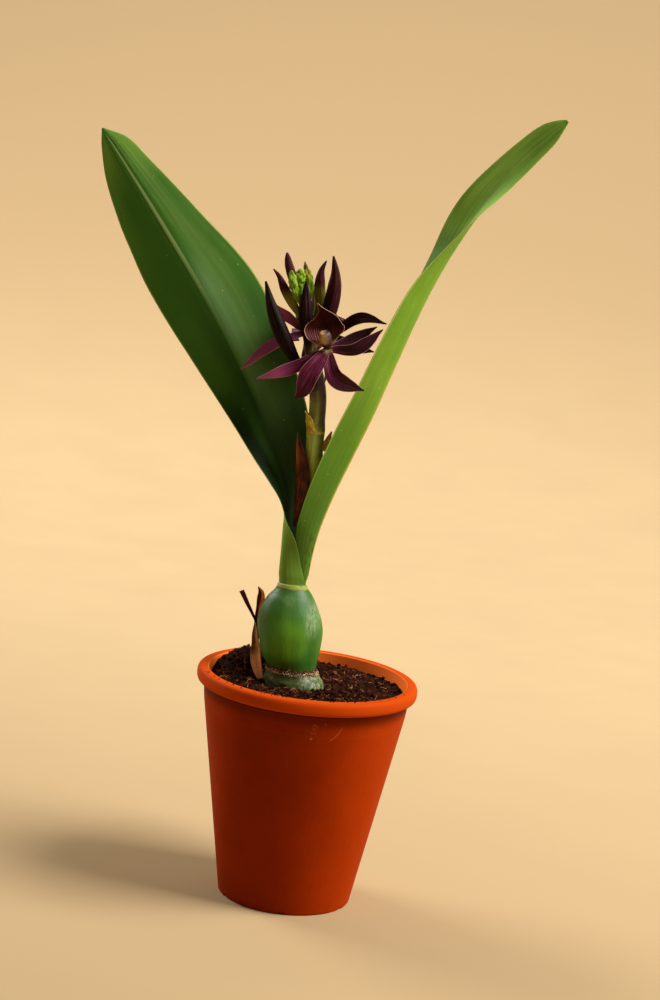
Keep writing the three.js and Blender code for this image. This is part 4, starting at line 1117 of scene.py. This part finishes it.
def bud_finish(name, green, light):
    """Bud: green from its foot up to this share of its length, near-black purple beyond."""
    finish = Finish(name, roughness=0.45, specular=0.06)
    along, across, layer = finish.marks("along", "across", "layer")
    streak = finish.strands((across, 4), (layer, 4), (along, 3), detail=4, roughness=0.65)
    shades = [tuple(level * light for level in shade) for shade in BUD_PURPLES]
    purple = finish.ramp(streak, *zip((0.36, 0.55, 0.74), shades))
    level = finish.plus(along, streak, 0.5, centre=0.5)
    finish.base = finish.ramp(streak, (0.36, (84, 120, 26)), (0.7, (150, 176, 52)))
    finish.tint((142, 122, 48), (level, green - 0.36, green - 0.14), 0.7)
    finish.tint(purple, (level, green - 0.1, green + 0.12))
    finish.tint((150, 110, 100), (finish.noise(1.5, detail=2), 0.7, 0.76), 0.35)
    return finish.finished((streak, 0.2, 1))


# Pot
def between(start, end, shares):
    """The places at these shares of the straight way from start to end."""
    return [tuple(a + (b - a) * share for a, b in zip(start, end)) for share in shares]


def quarter_round(steps):
    """How far the places of a quarter turn are inside its square, as shares of its radius."""
    return [(1 - math.sin(turn), 1 - math.cos(turn)) for turn in np.linspace(0, math.pi / 2, steps)]


def pot_profile():
    """The pot's outline as (radius, height) places, up the outside and down the inside."""
    middle = POT_HEIGHT - RIM_HEIGHT / 2
    bead = []
    for turn in np.linspace(-math.pi / 2, math.pi / 2, 25):
        out = abs(math.cos(turn)) ** RIM_SQUARENESS
        up = math.copysign(abs(math.sin(turn)) ** RIM_SQUARENESS, math.sin(turn))
        bead.append((NECK_RADIUS + (RIM_RADIUS - NECK_RADIUS) * out, middle + RIM_HEIGHT / 2 * up))
    corner = quarter_round(6)
    foot = [(BASE_RADIUS - POT_EDGE * across, POT_EDGE * up) for across, up in corner]
    lip = [(RIM_INNER_RADIUS + POT_EDGE * across, POT_HEIGHT - POT_EDGE * up) for across, up in corner[1:]]
    steps = [k / 12 for k in range(1, 13)]
    wall = between((BASE_RADIUS, POT_EDGE), (NECK_RADIUS, RIM_SEAM), steps[:-1])
    inside = between((RIM_INNER_RADIUS, POT_HEIGHT - POT_EDGE), (BASE_RADIUS - WALL, FLOOR), steps)
    crease = (NECK_RADIUS - RIM_CREASE, RIM_SEAM - RIM_CREASE)
    return [(0, 0), *foot, *wall, crease, *bead, *lip, *inside, (0, FLOOR)]


def pot_shape():
    """The profile turned about Z. Its first and last places are on the axis."""
    profile = pot_profile()
    rings = [[(r * math.cos(a), r * math.sin(a), z) for a in turns(POT_SIDES)] for r, z in profile[1:-1]]
    return capped(np.array(rings), np.array([(0, 0, profile[0][1]), (0, 0, profile[-1][1])], float))


def cutter(shape):
    bmesh.ops.scale(shape, vec=(MM, MM, MM), verts=shape.verts)
    mesh = bpy.data.meshes.new("cutter")
    shape.to_mesh(mesh)
    shape.free()
    return placed("cutter", mesh)


def cutters():
    """The drain holes and the shallow grooves that run from them to the edge of the base."""
    made = []
    for i in range(DRAIN_COUNT):
        turn = Matrix.Rotation(2 * math.pi * (i + 0.5) / DRAIN_COUNT, 4, "Z")
        hole = bmesh.new()
        bmesh.ops.create_cone(
            hole, cap_ends=True, segments=32, radius1=DRAIN_RADIUS, radius2=DRAIN_RADIUS, depth=3 * FLOOR,
            matrix=turn @ Matrix.Translation((DRAIN_CIRCLE, 0, 0)),
        )
        groove = bmesh.new()
        middle = Matrix.Translation((DRAIN_CIRCLE + BASE_RADIUS / 2, 0, 0))
        box = Matrix.Diagonal((BASE_RADIUS, GROOVE_WIDTH, 2 * GROOVE_DEPTH, 1))
        bmesh.ops.create_cube(groove, size=1, matrix=turn @ middle @ box)
        made += [cutter(hole), cutter(groove)]
    return made


def cut(piece, tools):
    for tool in tools:
        modifier = piece.modifiers.new("cut", "BOOLEAN")
        modifier.operation = "DIFFERENCE"
        modifier.solver = "EXACT"
        modifier.object = tool
    evaluated = piece.evaluated_get(bpy.context.evaluated_depsgraph_get())
    finished = bpy.data.meshes.new_from_object(evaluated)
    piece.modifiers.clear()
    piece.data = finished
    for tool in tools:
        bpy.data.objects.remove(tool)


def make_pot():
    cut(make_piece("pot_body", pot_shape(), pot_finish(), "pot", sharp=50), cutters())


# Potting mix
def inner_radius(z):
    inner_base = BASE_RADIUS - WALL
    share = (np.minimum(z, POT_HEIGHT - POT_EDGE) - FLOOR) / (POT_HEIGHT - POT_EDGE - FLOOR)
    return inner_base + (RIM_INNER_RADIUS - inner_base) * share


def mix_height(x, y):
    away = (x - HEAP["x"]) ** 2 + (y - HEAP["y"]) ** 2
    heap = HEAP["height"] * np.exp(-away / (2 * HEAP["spread"] ** 2))
    crumb = CRUMB_HEIGHT * layered_field(x / CRUMB_SIZE + 40, y / CRUMB_SIZE + 9, 3)
    return MIX_LEVEL + heap + CLOD_HEIGHT * field(x / CLOD_SIZE, y / CLOD_SIZE) + crumb


def mix_bed():
    """The mix as one solid, from its rough top down to the pot's floor."""
    shares = np.sqrt(np.linspace(0.0004, 1, MIX_RINGS))[:, None]
    angle = turns(MIX_SIDES)
    wall = RIM_INNER_RADIUS - SEAT_GAP
    x, y = wall * shares * np.cos(angle), wall * shares * np.sin(angle)
    z = mix_height(x, y)
    reach = (inner_radius(z) - SEAT_GAP) * shares / np.maximum(np.hypot(x, y), 1e-6)
    top = np.stack([x * reach, y * reach, z], axis=-1)
    bottom = FLOOR + SEAT_GAP
    low = inner_radius(bottom) - SEAT_GAP
    base = np.stack([low * np.cos(angle), low * np.sin(angle), np.full(MIX_SIDES, bottom)], axis=-1)
    body = capped(np.concatenate([top, base[None]]), np.array([(0, 0, mix_height(0, 0)), (0, 0, bottom)]))
    places = body["points"] / MIX_TINT_SIZE
    return tinted(body, 0.25 + 0.2 * layered_field(places[:, 0], places[:, 1], 2))


def lump_shape():
    ball = bmesh.new()
    bmesh.ops.create_icosphere(ball, subdivisions=2, radius=1)
    points = np.array([vertex.co for vertex in ball.verts])
    faces = [tuple(vertex.index for vertex in face.verts) for face in ball.faces]
    ball.free()
    return points, faces


def spin(draw):
    """A random turn, as a 3 by 3 matrix."""
    turn, weights = np.linalg.qr(draw.normal(size=(3, 3)))
    return turn * np.sign(np.diag(weights))


def lump(draw, shape, centre, size, tint):
    points, faces = shape
    bumps = 1 + 0.25 * draw.uniform(-1, 1, len(points))[:, None]
    stretch = draw.uniform(0.5, 1.2, 3)
    return tinted(closed((points * bumps * stretch) @ spin(draw).T * size + centre, faces), tint)


def strand(draw, points, width, tints, **looks):
    """A thin tube that narrows along its length, with a tint drawn by its odds."""
    body = tube(points, [(0, width), (1, width * 0.4)], sides=4, stations=7, **looks)
    return tinted(body, draw.choice(list(tints), p=list(tints.values())))


def scattered(draw, count, reach, make):
    """What make gives at random places on the mix, clear of the bulb."""
    made = []
    while len(made) < count:
        radius, angle = reach * math.sqrt(draw.uniform()), draw.uniform(0, 2 * math.pi)
        x, y = radius * math.cos(angle), radius * math.sin(angle)
        if ((x - BULB_FOOT["x"]) / BULB_FOOT["half"]) ** 2 + (y / BULB_FOOT["depth"]) ** 2 >= 1:
            made.append(make(draw, x, y))
    return made


def mix_lumps(draw):
    shape = lump_shape()

    def on_mix(draw, x, y):
        size = draw.uniform(*LUMPS["size"])
        z = mix_height(x, y) + draw.uniform(-0.1, 0.5) * size
        tint = draw.choice(list(LUMPS["tints"]), p=list(LUMPS["tints"].values()))
        return lump(draw, shape, np.array([x, y, z]), size, tint)

    made = scattered(draw, LUMPS["count"], LUMPS["reach"], on_mix)
    for k in range(RIM_CRUMBS["count"]):
        angle = math.radians(draw.uniform(*RIM_CRUMBS["left" if k % 3 else "right"]))
        radius = draw.uniform(*RIM_CRUMBS["reach"])
        centre = np.array([radius * math.cos(angle), radius * math.sin(angle), POT_HEIGHT + 0.1])
        made.append(lump(draw, shape, centre, draw.uniform(*RIM_CRUMBS["size"]), 0.2))
    return made


def mix_fibre(draw, x, y):
    """A curved fibre that lies on the mix, kept inside the pot."""
    length = draw.uniform(*MIX_FIBRES["length"])
    way = draw.uniform(0, 2 * math.pi)
    bend = draw.uniform(-0.9, 0.9)
    points = []
    for k in range(4):
        step = length * (k / 3 - 0.5)
        there = np.array([x + step * math.cos(way + bend * k / 3), y + step * math.sin(way + bend * k / 3)])
        there *= MIX_FIBRES["limit"] / max(math.hypot(*there), MIX_FIBRES["limit"])
        lift = draw.uniform(-0.2, 0.9)
        points.append((*there, mix_height(*there) + lift))
    return strand(draw, points, draw.uniform(*MIX_FIBRES["width"]), MIX_FIBRES["tints"])


def make_mix():
    draw = np.random.default_rng(MIX_SEED)
    lumps = mix_lumps(draw)
    fibres = scattered(draw, MIX_FIBRES["count"], MIX_FIBRES["reach"], mix_fibre)
    body = joined([mix_bed(), *lumps, *fibres])
    make_piece("mix_of_bark_and_coir", body, mix_finish(), "potting_mix", sharp=35)


# Pseudobulb
def bulb_column(column, places, at):
    """One column of the bulb's outline, smoothed, where the places of its rows are these."""
    return smooth_values([(place, row[column]) for place, row in zip(places, BULB_OUTLINE)], at)


def bulb_body():
    t = np.linspace(0, 1, BULB_STATIONS)
    order = np.linspace(0, 1, len(BULB_OUTLINE))
    z, x, half = [bulb_column(column, order, t)[:, None] for column in range(3)]
    angle = turns(BULB_SIDES)[None, :]
    ridges = 0.1 * np.cos(angle * 11 + 0.8) * np.clip((z - 128) / 10, 0, 1) * np.clip((168 - z) / 10, 0, 1)
    wrinkles = 0.35 * np.clip((125 - z) / 4, 0, 1) * layered_field(np.degrees(angle) / 16, z / 2.2, 3)
    reach = half + ridges + wrinkles
    sides = [x + reach * np.cos(angle), reach * BULB_DEPTH_SHARE * np.sin(angle), z + 0 * reach]
    ends = np.array([(x[k, 0], 0, z[k, 0]) for k in (0, -1)])
    return capped(np.stack(sides, axis=-1), ends)


def make_bulb():
    creeper = tube(CREEPER["points"], CREEPER["radius"], sides=24, stations=20)
    roots = [tube(points, ROOT_RADIUS, sides=12, stations=30) for points in ROOTS]
    hidden = [{**part, "marks": {}} for part in (creeper, *roots)]
    body = joined([bulb_body(), *hidden])
    make_piece("pseudobulb_body", body, bulb_finish(), "pseudobulb")


# Torn ring of old sheath
def on_bulb(angle, z, out):
    """The place on the bulb's skin at an angle and a height, and this far out from it."""
    heights = [row[0] for row in BULB_OUTLINE]
    half = bulb_column(2, heights, z)
    across = bulb_column(1, heights, z) + (half + out) * np.cos(angle)
    deep = (half * BULB_DEPTH_SHARE + out) * np.sin(angle)
    return np.stack([across, deep, z + 0 * across], axis=-1)


def ring_band():
    """The band itself: toothed along its top, ragged along its bottom."""
    angle = turns(RING_STEPS)
    turn = np.degrees(angle)
    tooth = RING_TOOTH * (0.5 + 0.5 * layered_field(turn / 4.5, 3, 2)) * 0.6
    drop = RING_DROP * np.abs(((turn / 7.5) % 1) - 0.5) * 2 * (0.6 + 0.4 * field(turn / 9, 8))
    top = RING_BOTTOM + RING_HEIGHT - 0.7 + tooth
    bottom = RING_BOTTOM + RING_DROP - drop
    middle = (top + bottom) / 2
    rows = [(bottom, 0.1, 0.3), (bottom, 0.5, 0.3), (middle, 0.5, 0.12), (top, 0.4, 0.15), (top, 0.1, 0.1)]
    points = np.stack([on_bulb(angle, z, out) for z, out, shade in rows], axis=1).reshape(-1, 3)
    faces = grid_faces(RING_STEPS, len(rows), close_rows=True, close_columns=True)
    shades = np.tile([shade for z, out, shade in rows], RING_STEPS)
    return tinted(closed(points, faces), shades + 0.12 * np.repeat(field(turn / 5, 1), len(rows)))


def ring_thread(draw, level, swing, width, tint):
    """A torn edge that runs round the bulb in a jagged line."""
    steps = np.where(np.arange(THREAD_STEPS) % 2 == 0, 1, -1) * draw.uniform(0.25, 1, THREAD_STEPS)
    angle = np.linspace(0, 2 * math.pi, THREAD_STEPS)
    points = on_bulb(angle, RING_BOTTOM + level + swing * steps, 0.7)
    return tinted(tube(points, [(0, width), (1, width)], sides=5, stations=5 * THREAD_STEPS, facing=UP), tint)


def ring_fibre(draw, stands_off):
    start = draw.uniform(0, 2 * math.pi)
    sweep = draw.uniform(-0.24, 0.24)
    low = RING_BOTTOM + RING_DROP + draw.uniform(-0.9, 0.9)
    rise = draw.uniform(-1.0, 1.6)
    points = []
    for share in (0, 1 / 3, 2 / 3, 1):
        z = np.array([low + rise * share + 0.4 * draw.uniform(-1, 1)])
        out = 0.55 + draw.uniform(-0.1, 0.4) + (0.5 * share if stands_off else 0)
        points.append(on_bulb(np.array([start + sweep * share]), z, out)[0])
    return strand(draw, points, draw.uniform(*RING_FIBRES["width"]), RING_FIBRES["tints"], facing=UP)


def make_ring():
    draw = np.random.default_rng(RING_SEED)
    threads = [ring_thread(draw, **thread) for thread in RING_THREADS]
    fibres = [ring_fibre(draw, k % 5 == 0) for k in range(RING_FIBRES["count"])]
    body = joined([ring_band(), *threads, *fibres])
    make_piece("torn_sheath", body, fibre_finish(), "torn_sheath_ring", sharp=40)


# Leaves
def leaf_relief(t, share):
    """A shallow trough at the rib, soft ripples along the veins, and a slow wave out at the margin."""
    away = np.abs(share)
    trough = -0.35 * np.exp(-(share / 0.07) ** 2) * np.clip(t * 5, 0, 1)
    ripple = 0.05 * np.cos(share * 38) * np.clip(1.1 - away, 0, 1)
    wave = 0.35 * field(t * 9 + 3 * np.sign(share), 5) * away ** 3
    return trough + ripple + wave * np.clip((t - 0.12) * 6, 0, 1)


def make_leaf(name, leaf, node):
    body = blade(
        leaf["rib"], VIEWER, leaf["halves"], LEAF_EDGE, LEAF_RIB, LEAF_STATIONS, LEAF_ACROSS,
        margin=0.3, relief=leaf_relief,
    )
    make_piece(name + "_blade", body, leaf_finish(name + "_skin", leaf["skin"]), node)


# Stem, bracts and sheaths
def make_stem():
    ridges = lambda t, angle: 0.09 * np.cos(angle * 7 + 2 * t) + 0.05 * field(t * 40, np.degrees(angle) / 30)
    body = tube(STEM["points"], STEM["radius"], sides=56, stations=150, relief=ridges)
    make_piece("flower_stem_body", body, stem_finish(), "flower_stem")


def make_strip(name, strip):
    seed = sum(map(ord, name)) % 50
    crinkle = lambda t, share: (
        0.3 * layered_field(t * 7 + seed, share * 2.2 + seed, 3) * np.clip(t * 6, 0, 1)
        + 0.05 * np.cos(share * 22)
    )
    halves = even_halves(strip["half"], strip["cup"], strip.get("shares", (1, 1)))
    body = blade(
        strip["rib"], strip["facing"], halves, STRIP_THICKNESS, STRIP_THICKNESS, stations=70, across=12,
        margin=0.22, relief=crinkle,
    )
    make_piece(name + "_blade", body, dry_finish(name + "_skin", strip["look"]), name)


# Blooms
def bloom_frame(bloom):
    """The bloom's centre, and its own right, up and forward."""
    forward = unit(np.array(bloom["facing"], float))
    level = unit(np.cross(forward, UP))
    angle = math.radians(bloom["turn"])
    right = level * math.cos(angle) + np.cross(forward, level) * math.sin(angle)
    return np.array(bloom["ovary"][-1], float), right, np.cross(right, forward), forward


def place_in(bloom, places):
    centre, *ways = bloom_frame(bloom)
    return [tuple(centre + np.array(place) @ np.array(ways)) for place in places]


def tepal_body(bloom, tepal, phase):
    centre = np.array(bloom["ovary"][-1], float)
    tip = np.array(tepal["tip"], float)
    middle = centre + tip / 2 + np.array(tepal["bow"], float)
    halves = even_halves(TEPAL_SHAPE, TEPAL_CUP)
    for half, shape in zip(halves, tepal.get("shapes", (TEPAL_SHAPE, TEPAL_SHAPE))):
        half["width"] = [(place, share * tepal["half"]) for place, share in shape]
    waves = lambda t, share: (
        0.28 * np.sin(t * 14 + phase + 2 * np.sign(share)) * np.abs(share) ** 3
        - 0.16 * np.exp(-(share / 0.12) ** 2) + 0.035 * np.cos(share * 26)
    ) * np.clip(t * 5, 0, 1) * np.clip((1 - t) * 6, 0, 1)
    return blade(
        [centre, middle, centre + tip], tepal.get("facing", bloom["facing"]), halves,
        TEPAL_EDGE, TEPAL_RIB, TEPAL_STATIONS, TEPAL_ACROSS, margin=0.28, relief=waves,
    )


def ovary_body(bloom):
    """The ovary, marked as the foot of a tepal's back."""
    grooves = lambda t, angle: 0.12 * np.cos(angle * 6) * np.clip(t * 3, 0, 1)
    ovary = tube(bloom["ovary"], OVARY_RADIUS, sides=30, stations=40, facing=UP, relief=grooves)
    for mark, value in (("along", 0.12), ("across", 0), ("layer", 0)):
        ovary["marks"][mark] = np.full(len(ovary["points"]), float(value))
    return ovary


def make_bloom(name, bloom, petals, lip_material, column_material):
    forward = bloom_frame(bloom)[3]
    tepals = [tepal_body(bloom, tepal, 1.7 * k) for k, tepal in enumerate(bloom["tepals"])]
    make_piece(name + "_tepals_set", joined([*tepals, ovary_body(bloom)]), petals, name + "_tepals")
    rays = lambda t, share: 0.07 * np.cos(share * 44) * np.clip(1 - t, 0, 1) + 0.15 * field(t * 5, share * 4)
    shell = blade(
        place_in(bloom, LIP["rib"]), forward, even_halves(LIP["half"], LIP["cup"]), TEPAL_EDGE, TEPAL_RIB,
        stations=90, across=34, bend=1, margin=0.3, relief=rays,
    )
    make_piece(name + "_lip_shell", shell, lip_material, name + "_lip")
    folds = lambda t, angle: (
        0.12 * np.cos(angle * 3) * np.sin(t * 3) - 0.25 * np.exp(-((t - 0.78) / 0.05) ** 2)
    )
    column = tube(
        place_in(bloom, COLUMN["points"]), COLUMN["radius"], sides=36, stations=48, facing=forward,
        relief=folds,
    )
    make_piece(name + "_column_body", column, column_material, name + "_column")


# Buds
def make_bud(name, bud):
    """A bud with three seams and fine ridges. The green ones are lumpy, as tight clusters are."""
    half, green = bud["half"], bud.get("green", PURPLE_BUD_GREEN)
    slot = "green_bud" if green > MOSTLY_GREEN else "bud"
    lumpy = GREEN_BUD_LUMPS if slot == "green_bud" else 0
    seams = lambda t, angle: (
        -0.13 * half * np.clip(np.cos(angle * 3 + len(name)), 0, 1) ** 14 * np.clip((t - 0.2) * 8, 0, 1)
        + 0.03 * np.cos(angle * 13)
        + lumpy * half * np.sin(angle * 3 + 9 * t) * np.sin(t * 30 + len(name)) * np.clip((t - 0.3) * 5, 0, 1)
    ) * np.clip((1 - t) * 8, 0, 1)
    radius = [(place, share * half) for place, share in bud.get("shape", BUD_SHAPE)]
    body = tube(bud["points"], radius, sides=48, stations=60, relief=seams)
    skin = bud_finish(name + "_skin", green, bud.get("light", BUD_LIGHT))
    make_piece(name + "_body", body, skin, name)


def make_plant():
    make_pot()
    make_mix()
    make_bulb()
    make_ring()
    make_leaf("left_leaf", LEFT_LEAF, "leaf_left")
    make_leaf("right_leaf", RIGHT_LEAF, "leaf_right")
    make_stem()
    for name, strip in STRIPS.items():
        make_strip(name, strip)
    petals = petal_finish()
    front = lip_finish("lip_shell", 1), column_finish("column_wax", 1)
    behind = lip_finish("shaded_lip_shell", 0.15), column_finish("shaded_column_wax", 0.2)
    for name, bloom in BLOOMS.items():
        make_bloom(name, bloom, petals, *(front if name == "bloom_front" else behind))
    for name, bud in BUDS.items():
        make_bud(name, bud)


# Studio
def make_camera():
    """Looks along +Y and down a little, rolled as the plant leans in the photograph."""
    low, roll = math.radians(CAMERA["elevation"]), math.radians(CAMERA["roll"])
    ahead = Vector((0, math.cos(low), -math.sin(low)))
    level = Vector((1, 0, 0))
    above = level.cross(ahead)
    right = level * math.cos(roll) + above * math.sin(roll)
    up = above * math.cos(roll) - level * math.sin(roll)
    place = (Vector(CAMERA["target"]) - ahead * CAMERA["distance"]) * MM
    lens = bpy.data.cameras.new("camera")
    lens.sensor_width = SENSOR
    lens.lens = SENSOR * FOCAL_SHARE
    camera = placed("camera", lens)
    camera.matrix_world = Matrix.Translation(place) @ Matrix((right, up, -ahead)).transposed().to_4x4()
    bpy.context.scene.camera = camera


def paper_finish():
    """Warm paper with a painted pool of light behind the plant's right side, darker away from there."""
    finish = Finish("studio_paper", roughness=0.9, specular=0.1)
    finish.base = finish.ramp(finish.noise(0.01), (0.3, (180, 155, 117)), (0.7, (184, 159, 120)))
    away = finish.distance((finish.x, finish.y), STAGE_PAINTED_LIGHT_MIDDLE)
    # Painted pool of light: the paper darkens away from its middle
    finish.tint((168, 143, 106), (away, 250, 1150))
    return finish.finished()


def make_stage():
    """A round pale floor that curves slowly up, far outside the plant."""
    profile = [(STAGE_FLAT * k / 4, 0) for k in range(1, 5)]
    for k in range(1, 25):
        angle = math.radians(STAGE_STEEPEST * k / 24)
        profile.append((STAGE_FLAT + STAGE_CURVE * math.sin(angle), STAGE_CURVE * (1 - math.cos(angle))))
    places = [(r * math.cos(a), r * math.sin(a), z) for r, z in profile for a in turns(STAGE_SIDES)]
    faces = [face[::-1] for face in grid_faces(len(profile), STAGE_SIDES, close_columns=True)]
    faces += [(len(places), j, (j + 1) % STAGE_SIDES) for j in range(STAGE_SIDES)]
    mesh = bpy.data.meshes.new("studio_floor")
    mesh.from_pydata((np.array(places + [(0, 0, 0)]) * MM).tolist(), [], faces)
    mesh.shade_smooth()
    mesh.materials.append(paper_finish())
    floor = placed("studio_floor", mesh)


def add_light(name, place, size, power, aim):
    light = bpy.data.lights.new(name, "AREA")
    light.shape = "RECTANGLE"
    light.size, light.size_y = size
    light.energy = power
    light.color = LIGHT_COLOUR
    lamp = placed(name, light)
    lamp.location = Vector(place) * MM
    lamp.rotation_euler = ((Vector(aim) - Vector(place)) * MM).to_track_quat("-Z", "Y").to_euler()
    lamp.visible_camera = False


def light_scene():
    world = bpy.data.worlds.new("studio_air")
    world.use_nodes = True
    background = world.node_tree.nodes["Background"]
    background.inputs["Color"].default_value = tone(*AIR["colour"])
    background.inputs["Strength"].default_value = AIR["strength"]
    bpy.context.scene.world = world
    for light in LIGHTS:
        add_light(**light)


make_camera()
make_stage()
light_scene()
make_plant()
bpy.context.scene.view_settings.view_transform = "Standard"
